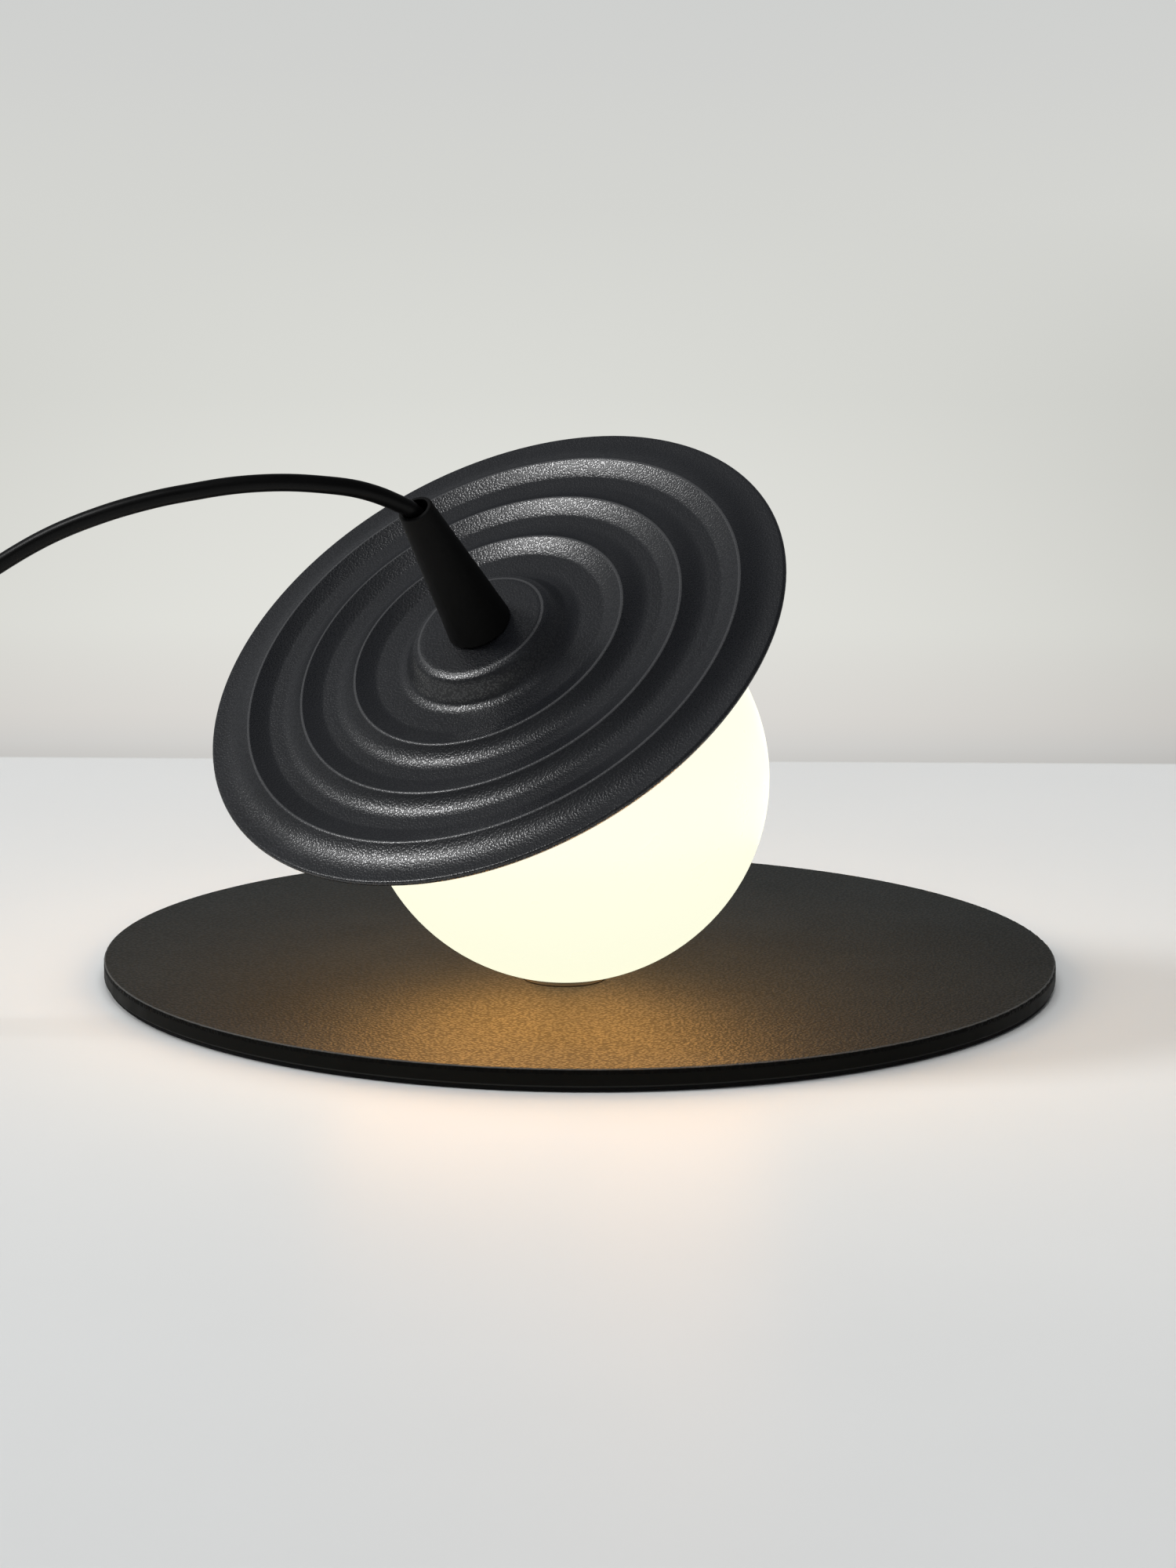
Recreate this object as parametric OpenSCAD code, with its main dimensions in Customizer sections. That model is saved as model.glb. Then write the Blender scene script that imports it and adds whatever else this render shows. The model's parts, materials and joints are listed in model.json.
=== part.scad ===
// Table lamp: an opal globe stands on a round leather-topped base and wears a tilted, rippled
// leather hat. A hollow cone on the hat lets the cord out. Millimetres, +Z up, and the origin
// is the centre of the base on the table. The front of the lamp looks along -Y.

/* [Base] */
// Diameter of the base
base_d = 300; // [250:1:360]
// Thickness of the steel plate
plate_t = 4; // [3.6:0.1:8]
// Thickness of the leather on the plate
base_leather_t = 1.6; // [1.2:0.1:3]
// Rounding of the leather's upper edge
base_edge_r = 0.7; // [0.3:0.1:1]
// Thickness of the soft pad under the plate
pad_t = 1.2; // [0.8:0.1:3]
// How far the pad stands back from the plate's edge
pad_inset = 1; // [0.5:0.1:6]

/* [Pivot under the globe] */
// Place of the pivot across the base, from its centre
foot_x = -4.8; // [-30:0.1:30]
// Place of the pivot along the base, from its centre
foot_y = -35.2; // [-60:0.1:0]
// Diameter of the pivot screw's shank
pivot_d = 6; // [5:0.1:8]
// Diameter of the pivot screw's head
pivot_head_d = 12; // [11:0.1:15]
// Height of the pivot screw's head
pivot_head_t = 2.2; // [1.6:0.1:2.4]
// Height of the screw's head above the table
pivot_head_up = 0.6; // [0.4:0.1:1]
// Thickness of the flattened spring washer
spring_t = 0.6; // [0.4:0.1:0.8]
// Wall of the bush that the screw turns in
bush_wall = 1; // [0.8:0.1:1.5]
// Width of the bush's flange
bush_flange_w = 2; // [1:0.1:3]
// Thickness of the bush's flange
bush_flange_t = 0.8; // [0.5:0.1:1]
// Diameter of the soft seat under the globe
seat_d = 25.6; // [22:0.2:34]
// Height of the seat's lip above the leather
seat_lip = 0.3; // [0.3:0.1:0.9]
// Diameter of the washer inside the globe
foot_washer_d = 20; // [16:0.5:26]
// Thickness of that washer at its middle
foot_washer_t = 2.4; // [2:0.1:4]
// Width of the pivot nut across its flats
foot_nut_af = 10; // [9:0.5:13]
// Height of the pivot nut
foot_nut_t = 5; // [4:0.5:8]

/* [Globe] */
// Diameter of the globe
globe_d = 125.5; // [118:0.5:140]
// Thickness of the globe's wall
globe_wall = 3; // [2:0.1:4]
// Diameter of the globe's screw neck
neck_d = 30.6; // [29:0.1:31]
// Wall of the neck
neck_wall = 3; // [2:0.1:3.4]

/* [Hat] */
// Tilt of the hat from upright
tilt = 38.4; // [20:0.1:42]
// Compass direction of the lean, from +X
lean = 232.4; // [180:0.1:270]
// Diameter of the hat
hat_d = 186.4; // [176:0.2:200]
// How far the globe's crown stands above the plane of the rim
crown_rise = 6.85; // [6:0.05:7.6]
// Thickness of the leather
hat_leather_t = 1.7; // [1.2:0.1:2]
// Thickness of the metal core
hat_core_t = 1; // [0.6:0.1:1.4]
// How far the core stops short of the leather's edge
core_inset = 1.2; // [0.8:0.1:4]
// Diameter of the raised boss's flat top
boss_d = 39.8; // [38.4:0.2:41]
// Height of the boss above the rim
boss_h = 11.5; // [10.5:0.1:13]
// Width of the boss's rounded fall
boss_fall = 9; // [7:0.2:11]
// Diameter of the first crest
crest_d = 86.8; // [80:0.2:92]
// Distance from crest to crest
crest_pitch = 18.2; // [16.4:0.1:19]
// Number of crests
crest_count = 3; // [1:1:3]
// Height of the first crest above the rim
crest_h = 6.15; // [5:0.05:8]
// Loss of height from crest to crest
crest_drop = 1.45; // [0.8:0.05:2]
// Width of the fall outside a crest
fall_w = 8.4; // [7:0.2:9.6]
// Width of the rise to a crest
rise_w = 5.4; // [4:0.2:6.4]
// Height of the rise to a crest
rise_h = 1.6; // [1:0.1:2.2]
// Width of the fall outside the last crest
band_w = 11.5; // [9:0.5:12]
// Height of the leather above the rim plane at the edge
rim_up = 0.5; // [0:0.05:1]

/* [Cone and stem] */
// Diameter of the cone's foot
cone_d = 20; // [18:0.2:26]
// Height of the cone
cone_h = 49; // [42:0.5:60]
// Diameter of the cone's tip
cone_tip_d = 10.6; // [10:0.1:14]
// Diameter of the cone's mouth
mouth_d = 8.2; // [7.8:0.1:9]
// Thickness of the cone's wall
cone_wall = 1.5; // [1:0.1:2]
// Diameter of the hollow threaded stem
stem_d = 10; // [9:0.1:11]
// Bore of the stem
stem_bore = 7; // [6:0.1:7.6]
// Length of stem inside the cone
stem_in_cone = 9; // [6:0.5:11]
// Diameter of the cord grip
grip_d = 11; // [9:0.1:11.4]
// Length of the cord grip
grip_l = 17; // [12:0.5:18]
// Length of cord held in the grip
grip_hold = 6; // [4:0.5:8]

/* [Fittings inside the globe] */
// Wall of the collar that the globe screws into
collar_wall = 2; // [1.4:0.1:2.2]
// Thickness of the collar's top
collar_top_t = 1.2; // [0.8:0.1:1.6]
// Diameter of the washer under the collar
stem_washer_d = 20; // [17:0.5:22]
// Thickness of that washer
stem_washer_t = 1; // [0.6:0.1:1.4]
// Width of the stem's nut across its flats
stem_nut_af = 14; // [13:0.5:16]
// Height of the stem's nut
stem_nut_t = 4; // [3:0.5:5]
// Diameter of the lampholder
holder_d = 20; // [19:0.1:22]
// Length of the lampholder
holder_l = 25; // [22:0.5:30]
// Distance between the bulb's pins
bulb_pin_pitch = 9; // [8:0.5:10]
// Diameter of a bulb pin
bulb_pin_d = 1.6; // [1:0.1:2]
// Diameter of the bulb
bulb_d = 17; // [14:0.5:20]
// Length of the bulb's cover
bulb_l = 42; // [36:1:52]
// Length of the bulb's foot
bulb_foot_l = 10; // [8:0.5:14]

/* [Cord and switch] */
// Diameter of the cord
cord_d = 5.2; // [4.6:0.1:5.4]
// Length of the switch housing
switch_l = 62; // [58:1:72]
// Width of the switch housing
switch_w = 28; // [26:0.5:34]
// Height of the switch housing
switch_h = 17; // [16:0.5:20]
// Wall of the switch housing
switch_wall = 1.8; // [1.4:0.1:2.2]
// Length of the rocker
rocker_l = 19.6; // [16:0.2:22]
// Width of the rocker
rocker_w = 12; // [10:0.2:14]
// Half of the rocker's travel
rocker_swing = 8; // [5:0.5:9]
// Diameter of the rocker's pin
rocker_pin_d = 2.4; // [2:0.1:3]
// Length of a strain relief outside its housing
relief_l = 20; // [20:1:30]
// Diameter of a strain relief at the housing
relief_d = 9.6; // [8.6:0.1:10.4]
// Diameter of a strain relief at its tip
relief_tip_d = 7.2; // [6.8:0.1:8]

/* [Coil and plug] */
// Radius of the coil's outermost turn
coil_r = 38.5; // [34:0.5:42]
// Clear space between turns and between layers
coil_gap = 0.6; // [0.5:0.05:1.2]
// Turns of the lower layer
coil_turns_in = 2.25; // [1.25:1:2.25]
// Width of the coil's tie
tie_w = 9; // [5:0.5:14]
// Thickness of the tie
tie_t = 0.8; // [0.5:0.1:1.4]
// Width of the plug
plug_w = 35; // [33:0.5:38]
// Length of the plug's body
plug_l = 35; // [30:0.5:42]
// Height of the plug
plug_h = 13.6; // [12:0.2:16]
// Distance between the plug's pins
plug_pin_pitch = 19; // [18:0.1:19.5]
// Diameter of a plug pin
plug_pin_d = 4; // [3.8:0.1:4.8]
// Length of a plug pin outside the body
plug_pin_l = 19; // [17:0.5:22]
// Length of the sleeve on a plug pin
plug_sleeve_l = 10; // [8:0.5:12]

/* [Fits] */
// Radial clearance of a turning fit
run_gap = 0.05; // [0.02:0.01:0.1]
// Clearance of pieces that are fixed together
fit_gap = 0.1; // [0.05:0.01:0.15]
// Clearance of pieces that move past each other
free_gap = 0.3; // [0.2:0.05:0.4]

/* [Hidden] */
$fn = 96;

// Heights in the base
plate_top = pad_t + plate_t;
base_top = plate_top + base_leather_t;
spring_z = pivot_head_up + pivot_head_t;
recess_top = spring_z + spring_t;
recess_d = pivot_head_d + 4;
bush_d = pivot_d + 2 * run_gap + 2 * bush_wall;
bush_flange_d = bush_d + 2 * bush_flange_w;

// The globe stands on the leather's level, straight above the pivot
globe_r = globe_d / 2;
globe_z = base_top + globe_r;
globe_c = [foot_x, foot_y, globe_z];
globe_foot_d = pivot_d + 2 * free_gap;
foot_inside = base_top + globe_wall;
foot_nut_z = foot_inside + foot_washer_t;

// Places along the hat's axis, counted from the globe's centre
head_axis = [sin(tilt) * cos(lean), sin(tilt) * sin(lean), cos(tilt)];
rim_s = globe_r - crown_rise;
boss_s = rim_s + boss_h;
core_s = boss_s - hat_leather_t - fit_gap;
collar_s = core_s - hat_core_t;
collar_floor_s = collar_s - collar_top_t;
washer_s = collar_floor_s - stem_washer_t;
nut_s = washer_s - stem_nut_t;
holder_s = nut_s - fit_gap;
stem_in_holder = 6;
stem_low_s = nut_s - stem_in_holder;
stem_high_s = boss_s + stem_in_cone;
mouth_s = boss_s + cone_h;
grip_top_s = stem_high_s + grip_l;
jacket_s = grip_top_s - grip_hold;

// Radii round the hat's axis
hat_r = hat_d / 2;
boss_r = boss_d / 2;
neck_r = neck_d / 2;
stem_r = stem_d / 2;
stem_hole_r = stem_r + fit_gap;
collar_bore_r = neck_r + fit_gap;
collar_r = collar_bore_r + collar_wall;
neck_top_s = collar_floor_s - fit_gap;

// Points on each bend of the hat's ripple
bend_steps = 10;
fall_steps = 8;
rise_steps = 5;

// Wires and contacts in the lampholder
wire_d = 1.9;
wire_off = 1.2;
holder_low_s = holder_s - holder_l;
holder_bore_r = wire_off + wire_d / 2 + free_gap;
contact_l = 9;
contact_wall = 0.4;
contact_r = bulb_pin_d / 2 + free_gap / 2 + contact_wall;
bulb_s = holder_low_s - fit_gap;
bulb_cover_s = bulb_s - bulb_foot_l;
bulb_cover_t = 1;
bulb_led_d = 6;

// Switch: its own frame lies along the cord, on the table
switch_at = [-368, 52, 0];
switch_turn = 90;
cord_r = cord_d / 2;
cord_z = 8;
cord_bore_r = cord_r + fit_gap;
shell_r = 9;
rocker_z = switch_h - 2.6;
rocker_r = rocker_l / 2;
window_l = rocker_l + 4 * free_gap;
window_w = rocker_w + 2 * free_gap;
relief_flange_t = 1.6;
relief_neck_r = relief_d / 2 - 0.8;
relief_end = switch_l / 2 + relief_l;
cord_end_x = switch_l / 2 - switch_wall - relief_flange_t - fit_gap;
screw_d = 2.6;
screw_head_d = 5.2;
screw_head_t = 1.8;
screw_l = 11;
screw_x = switch_l / 2 - 10;
screw_y = switch_w / 2 - switch_wall - 3.2;
screw_boss_r = 3;
ear_t = 2.2;
terminal_l = 8;
terminal_w = 6;
terminal_h = 6;
terminal_x = cord_end_x - fit_gap - terminal_l;
bridge_t = 0.8;
bridge_w = 4;
bridge_l = 9;
rocker_hub_r = 4;

// Coil: it lies on its tie, and winds in below and out above
coil_at = [-262, 100.5];
coil_pitch = cord_d + coil_gap;
coil_low_z = tie_t + fit_gap + cord_r;
coil_in = coil_turns_in * 360;
coil_back = coil_in + 180;
coil_all = coil_back + (coil_turns_in + 0.25) * 360;
coil_inner_r = coil_r - coil_turns_in * coil_pitch;
coil_end_r = coil_inner_r + (coil_turns_in + 0.25) * coil_pitch;
coil_steps = 24;
coil_start = [coil_at[0], coil_at[1] + coil_r, coil_low_z];
coil_end = [coil_at[0] + coil_end_r, coil_at[1], coil_low_z + coil_pitch];

// Plug: its own frame has the pins along +X and its face at zero
plug_z = plug_h / 2;
plug_relief_l = 22;
plug_relief_r = 5.6;
plug_relief_tip_r = 3.9;
plug_cord_in = 16;
plug_back = plug_l + plug_relief_l;
plug_at = [coil_end[0], coil_end[1] - 30 - plug_back, 0];
plug_core_r = plug_pin_d / 2 - 0.5;
plug_root_l = 9;

// The cord as it lies: straight out of its grip, to one side of the cone's mouth, over in one
// arch and down to the table
mouth_side = [-0.9, 0, -0.42];
mouth_lean = mouth_d / 2 - cord_r - 4 * fit_gap;
lead_straight = grip_hold + 2;
lead_in_cone = [
    head_at(jacket_s), head_at(jacket_s + lead_straight),
    head_at(jacket_s + 2 * lead_straight) - mouth_lean / 2 * mouth_side,
    head_at(mouth_s - 1.25 * cord_d), head_at(mouth_s) + mouth_lean * mouth_side
];
lead_arch = [
    [-54.5, -95.4, 163.1], [-60, -98.5, 165.8], [-67, -101.3, 168], [-76, -103.5, 169.3],
    [-85, -104.5, 169.9], [-94, -105, 169.7], [-103, -105, 168.8], [-112, -104.5, 167.2],
    [-124, -103, 164.6], [-139, -101, 160], [-155, -98, 153.2], [-170.5, -95, 144],
    [-188, -92, 131.5], [-204, -89.5, 117], [-219, -87, 100], [-233, -85, 81],
    [-247, -83, 61.5], [-261, -81, 42.5], [-276, -78, 26], [-293, -74, 12.5],
    [-311, -68.5, 4.8], [-328, -60, 2.8], [-343, -49, 2.8], [-354, -36, 3.2],
    [-362, -21, 4.8], [-367, -7, 7.2]
];
link_bend = [
    [-367, 113, 7.2], [-361, 126, 5], [-350, 135, 3.8], [-335, 139, 3.6], [-318, 139, 3.6],
    [-300, 139, 3.6], [-284, 139, 3.6]
];

// Radius and height of crest i
function crest(i) = [crest_d / 2 + i * crest_pitch, crest_h - i * crest_drop];

// Height of the hat's leather above the rim plane at radius r
function hat_top(r) =
    let (first = crest(0), last = crest(crest_count - 1))
    r < first[0] ? boss_ring(r)
    : r < last[0] ? ripple(r, floor((r - first[0]) / crest_pitch))
    : rim_up + fall(r, last, rim_up, band_w);

// The boss: a flat top, a fall rounded at both ends, a level floor and the rise to the first crest
function boss_ring(r) =
    let (low = crest_h - rise_h, x = min(1, max(0, (r - boss_r) / boss_fall)))
    low + (boss_h - low) * (1 - x * x * (3 - 2 * x)) + rise(r, crest(0));

// One ripple: a quick fall from crest i, a level floor and a short rise to the next crest
function ripple(r, i) =
    let (next = crest(i + 1), low = next[1] - rise_h)
    low + fall(r, crest(i), low, fall_w) + rise(r, next);

function fall(r, from, low, w) = (from[1] - low) * pow(max(0, 1 - (r - from[0]) / w), 2);

function rise(r, to) = rise_h * pow(max(0, 1 - (to[0] - r) / rise_w), 1.25);

// Radii at which the hat's profile has a point, from the boss's top outwards to r_end
function fall_radii(r) = [for (j = [0 : fall_steps]) r + fall_w * j / fall_steps];

function rise_radii(r) = [for (j = [0 : rise_steps - 1]) r - rise_w * (1 - j / rise_steps)];

function hat_radii(r_end) =
    let (last = crest(crest_count - 1)[0])
    concat(
        [for (j = [0 : bend_steps]) boss_r + boss_fall * j / bend_steps],
        rise_radii(crest(0)[0]),
        [for (i = [0 : 1 : crest_count - 2]) each
            concat(fall_radii(crest(i)[0]), rise_radii(crest(i + 1)[0]))],
        [for (j = [0 : bend_steps]) last + (r_end - last) * j / bend_steps]
    );

// A point on the hat's axis
function head_at(s) = globe_c + s * head_axis;

// Points of a smooth curve through a route, a step about every two and a half diameters
function curve_pt(a, b, c, d, t) =
    0.5 * (2 * b + (c - a) * t + (2 * a - 5 * b + 4 * c - d) * t * t
           + (3 * b - a - 3 * c + d) * t * t * t);

function smooth(route) =
    let (last = len(route) - 1)
    concat(
        [for (i = [0 : last - 1]) each
            let (a = route[max(i - 1, 0)], b = route[i], c = route[i + 1])
            let (d = route[min(i + 2, last)], steps = ceil(norm(c - b) / (2.6 * cord_d)))
            [for (j = [0 : steps - 1]) curve_pt(a, b, c, d, j / steps)]],
        [route[last]]
    );

function unit(v) = v / norm(v);

// Direction of a path at its point i
function heading(path, i) = unit(path[min(i + 1, len(path) - 1)] - path[max(i - 1, 0)]);

// Side vectors along a path, each turned as little as possible from the one before
function sides_along(path, i = 0, found = []) =
    i == len(path) ? found
    : let (t = heading(path, i), before = i == 0 ? [t[1], t[2], t[0]] : found[i - 1])
      sides_along(path, i + 1, concat(found, [unit(before - (before * t) * t)]));

// One closed tube round a path
module tube(path, r, sides) {
    side = sides_along(path);
    rings = len(path);
    points = [for (i = [0 : rings - 1]) each
        let (t = heading(path, i), u = side[i], v = cross(t, u))
        [for (j = [0 : sides - 1]) path[i] + r * (cos(360 * j / sides) * u + sin(360 * j / sides) * v)]];
    walls = [for (i = [0 : rings - 2], j = [0 : sides - 1]) each
        let (a = i * sides + j, b = i * sides + (j + 1) % sides)
        [[a, a + sides, b], [b, a + sides, b + sides]]];
    first_end = [for (j = [1 : sides - 2]) [0, j, j + 1]];
    n = (rings - 1) * sides;
    last_end = [for (j = [1 : sides - 2]) [n, n + j + 1, n + j]];
    polyhedron(points = points, faces = concat(walls, first_end, last_end));
}

// Centre line of the coil at winding angle a: in along the table, up a layer while it turns
// back in half a turn, and out again on top
function coil_radius(a) =
    a < coil_in ? coil_r - coil_pitch * a / 360
    : a < coil_back ? let (u = (a - coil_in) / 180) coil_inner_r - coil_pitch * (u - u * u) / 2
    : coil_inner_r + coil_pitch * (a - coil_back) / 360;

function coil_climb(a) =
    let (u = min(1, max(0, (a - coil_in) / 180)))
    coil_low_z + coil_pitch * u * u * (3 - 2 * u);

function coil_pt(a) = [
    coil_at[0] + coil_radius(a) * cos(90 - a),
    coil_at[1] + coil_radius(a) * sin(90 - a),
    coil_climb(a)
];

coil_wound = [for (i = [0 : coil_steps * coil_all / 360]) coil_pt(i * 360 / coil_steps)];
coil_path = concat([coil_start - [cord_d, 0, 0]], coil_wound, [coil_end - [0, cord_d, 0]]);
coil_clear = min([for (i = [0 : len(coil_path) - 1], j = [i + coil_steps / 2 : 1 : len(coil_path) - 1])
    norm(coil_path[i] - coil_path[j])]) - cord_d;
echo(least_gap_of_the_coil_to_itself = coil_clear);

// Frames
module at_pivot() {
    translate([foot_x, foot_y, 0]) children();
}

module at_head() {
    translate(globe_c) rotate([0, tilt, lean]) children();
}

module at_switch() {
    translate(switch_at) rotate([0, 0, switch_turn]) children();
}

module at_plug() {
    translate(plug_at + [0, 0, plug_z]) rotate([0, 0, -90]) children();
}

// A cylinder along +X
module rod(r, l) {
    rotate([0, 90, 0]) cylinder(r = r, h = l);
}

// A ring with a round hole, standing on z
module ring(d, hole_d, t, z) {
    translate([0, 0, z]) difference() {
        cylinder(d = d, h = t);
        translate([0, 0, -1]) cylinder(d = hole_d, h = t + 2);
    }
}

// A hexagon nut, standing on z
module hex_nut(af, hole_d, t, z) {
    translate([0, 0, z]) difference() {
        cylinder(d = af / cos(30), h = t, $fn = 6);
        translate([0, 0, -1]) cylinder(d = hole_d, h = t + 2);
    }
}

// A rectangle with round corners, centred
module round_rect(l, w, r) {
    square([l - 2 * r, w], center = true);
    square([l, w - 2 * r], center = true);
    for (x = [-1, 1], y = [-1, 1])
        translate([x * (l / 2 - r), y * (w / 2 - r)]) circle(r = r);
}

// Base: steel plate with a recess for the pivot from below
module base_plate() {
    chamfer = 0.5;
    r = base_d / 2;
    color([0.06, 0.06, 0.065]) difference() {
        rotate_extrude() polygon([
            [0, pad_t], [r - chamfer, pad_t], [r, pad_t + chamfer], [r, plate_top], [0, plate_top]
        ]);
        at_pivot() translate([0, 0, pad_t - 1]) cylinder(d = recess_d, h = recess_top - pad_t + 1);
        at_pivot() cylinder(d = bush_d + 2 * fit_gap, h = plate_top + 1);
    }
}

module base_leather() {
    r = base_d / 2;
    color([0.15, 0.15, 0.155]) difference() {
        rotate_extrude() {
            translate([0, plate_top]) square([r - base_edge_r, base_leather_t]);
            translate([0, plate_top]) square([r, base_leather_t - base_edge_r]);
            translate([r - base_edge_r, base_top - base_edge_r]) circle(r = base_edge_r, $fn = 24);
        }
        at_pivot() translate([0, 0, plate_top - 1])
            cylinder(d = seat_d + 2 * fit_gap, h = base_leather_t + 2);
    }
}

module base_pad() {
    color([0.1, 0.1, 0.1]) difference() {
        cylinder(d = base_d - 2 * pad_inset, h = pad_t);
        at_pivot() translate([0, 0, -1]) cylinder(d = recess_d, h = pad_t + 2);
    }
}

// Pivot: the bush and the soft seat stay with the plate
module pivot_bush() {
    color([0.85, 0.84, 0.8]) at_pivot() difference() {
        union() {
            translate([0, 0, recess_top]) cylinder(d = bush_d, h = plate_top - recess_top + bush_flange_t);
            translate([0, 0, plate_top]) cylinder(d = bush_flange_d, h = bush_flange_t);
        }
        cylinder(d = pivot_d + 2 * run_gap, h = base_top + 1);
    }
}

module globe_seat() {
    color([0.05, 0.05, 0.05]) at_pivot() difference() {
        translate([0, 0, plate_top]) cylinder(d = seat_d, h = base_leather_t + seat_lip);
        cylinder(d = bush_flange_d + 2 * fit_gap, h = base_top + seat_lip + 1);
        translate([0, 0, globe_z]) sphere(r = globe_r + free_gap);
    }
}

// Pivot: screw, spring washer, curved washer and nut turn with the globe
module pivot_screw() {
    socket = 4;
    color([0.62, 0.62, 0.64]) at_pivot() difference() {
        union() {
            translate([0, 0, pivot_head_up]) cylinder(d = pivot_head_d, h = pivot_head_t);
            translate([0, 0, spring_z - 0.5]) cylinder(d = pivot_d, h = foot_nut_z + foot_nut_t - spring_z);
        }
        translate([0, 0, pivot_head_up - 1]) cylinder(d = socket / cos(30), h = 2.2, $fn = 6);
    }
}

module spring_washer() {
    color([0.5, 0.5, 0.52]) at_pivot()
        ring(pivot_head_d, pivot_d + 2 * fit_gap, spring_t - run_gap, spring_z);
}

module foot_washer() {
    bowl_r = globe_r - globe_wall - fit_gap;
    hole_r = pivot_d / 2 + fit_gap;
    out_r = foot_washer_d / 2;
    steps = 6;
    curved = [for (i = [0 : steps])
        let (r = hole_r + (out_r - hole_r) * i / steps)
        [r, globe_z - sqrt(bowl_r * bowl_r - r * r)]];
    color([0.8, 0.8, 0.78]) at_pivot() rotate_extrude()
        polygon(concat(curved, [[out_r, foot_nut_z], [hole_r, foot_nut_z]]));
}

module foot_nut() {
    color([0.78, 0.65, 0.35]) at_pivot() hex_nut(foot_nut_af, pivot_d + 2 * fit_gap, foot_nut_t, foot_nut_z);
}

// Globe: one opal shell, drilled at the foot, with a screw neck at the crown
module globe() {
    color([1, 0.97, 0.88]) difference() {
        union() {
            translate(globe_c) sphere(r = globe_r);
            at_head() cylinder(r = neck_r, h = neck_top_s);
        }
        translate(globe_c) sphere(r = globe_r - globe_wall);
        at_head() cylinder(r = neck_r - neck_wall, h = neck_top_s + 1);
        at_pivot() cylinder(d = globe_foot_d, h = globe_z);
    }
}

module globe_collar() {
    skirt_s = sqrt(globe_r * globe_r - collar_r * collar_r) + 2 * free_gap;
    color([0.2, 0.2, 0.2]) at_head() difference() {
        translate([0, 0, skirt_s]) cylinder(r = collar_r, h = collar_s - skirt_s);
        translate([0, 0, skirt_s - 1]) cylinder(r = collar_bore_r, h = collar_floor_s - skirt_s + 1);
        cylinder(r = stem_hole_r, h = collar_s + 1);
    }
}

// Hat: moulded leather on a metal core of the same ripple
module hat_layer(high, t, r_end, edge) {
    shape = [for (r = hat_radii(r_end - edge)) [r, hat_top(r)]];
    over = [for (p = shape) [p[0], p[1] + high]];
    under = [for (i = [len(shape) - 1 : -1 : 0]) [shape[i][0], shape[i][1] + high - t]];
    rim = [for (a = [75 : -15 : -75]) [
        r_end - edge + edge * cos(a),
        hat_top(r_end - edge) + high - t / 2 + t / 2 * sin(a)
    ]];
    rotate_extrude() polygon(concat(
        [[stem_hole_r, boss_h + high]], over, rim, under, [[stem_hole_r, boss_h + high - t]]
    ));
}

module hat_leather() {
    color([0.13, 0.13, 0.14]) at_head() translate([0, 0, rim_s])
        hat_layer(0, hat_leather_t, hat_r, hat_leather_t / 2);
}

module hat_core() {
    color([0.75, 0.74, 0.72]) at_head() translate([0, 0, rim_s])
        hat_layer(-hat_leather_t - fit_gap, hat_core_t, hat_r - core_inset, hat_core_t / 2);
}

// Cone: the cord's way out, screwed down on the stem to clamp the hat
module cone() {
    foot_round = 0.8;
    lip = 0.5;
    r = cone_d / 2;
    tip = cone_tip_d / 2;
    hollow_r = r - (r - tip) * stem_in_cone / cone_h - cone_wall;
    color([0.04, 0.04, 0.04]) at_head() translate([0, 0, boss_s]) difference() {
        rotate_extrude() polygon(concat(
            [[0, 0], [r - foot_round, 0]],
            [for (a = [-60 : 30 : 0])
                [r - foot_round + foot_round * cos(a), foot_round + foot_round * sin(a)]],
            [for (a = [0 : 30 : 90]) [tip - lip + lip * cos(a), cone_h - lip + lip * sin(a)]],
            [[0, cone_h]]
        ));
        translate([0, 0, -1]) cylinder(r = stem_hole_r, h = stem_in_cone + 2);
        translate([0, 0, stem_in_cone]) cylinder(r1 = hollow_r, r2 = mouth_d / 2, h = cone_h - stem_in_cone);
        translate([0, 0, cone_h - 0.01]) cylinder(r = mouth_d / 2, h = 1);
    }
}

module stem() {
    color([0.75, 0.66, 0.42]) at_head()
        ring(stem_d, stem_bore, stem_high_s - stem_low_s, stem_low_s);
}

module stem_washer() {
    color([0.7, 0.7, 0.72]) at_head() ring(stem_washer_d, 2 * stem_hole_r, stem_washer_t, washer_s);
}

module stem_nut() {
    color([0.7, 0.7, 0.72]) at_head() hex_nut(stem_nut_af, 2 * stem_hole_r, stem_nut_t, nut_s);
}

// Cord grip: it sits on the stem inside the cone and holds the jacket's end
module cord_grip() {
    pin_s = jacket_s + grip_hold / 2;
    color([0.9, 0.9, 0.88]) at_head() difference() {
        translate([0, 0, stem_high_s]) cylinder(d = grip_d, h = grip_l);
        cylinder(r = holder_bore_r, h = jacket_s + 1);
        translate([0, 0, jacket_s]) cylinder(r = cord_bore_r, h = grip_hold + 1);
        translate([0, 0, pin_s]) rod(1.5 + fit_gap, grip_d);
    }
}

module grip_screw() {
    color([0.6, 0.6, 0.62]) at_head() translate([cord_bore_r, 0, jacket_s + grip_hold / 2])
        rod(1.5, grip_d / 2 - cord_bore_r);
}

// The cord's two cores run from the jacket's end down the stem to the lampholder
module lead_wires() {
    low_s = stem_low_s - 6;
    color([0.2, 0.35, 0.7]) at_head()
        for (side = [-1, 1])
            translate([0, side * wire_off, low_s]) cylinder(d = wire_d, h = jacket_s - low_s);
}

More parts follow.
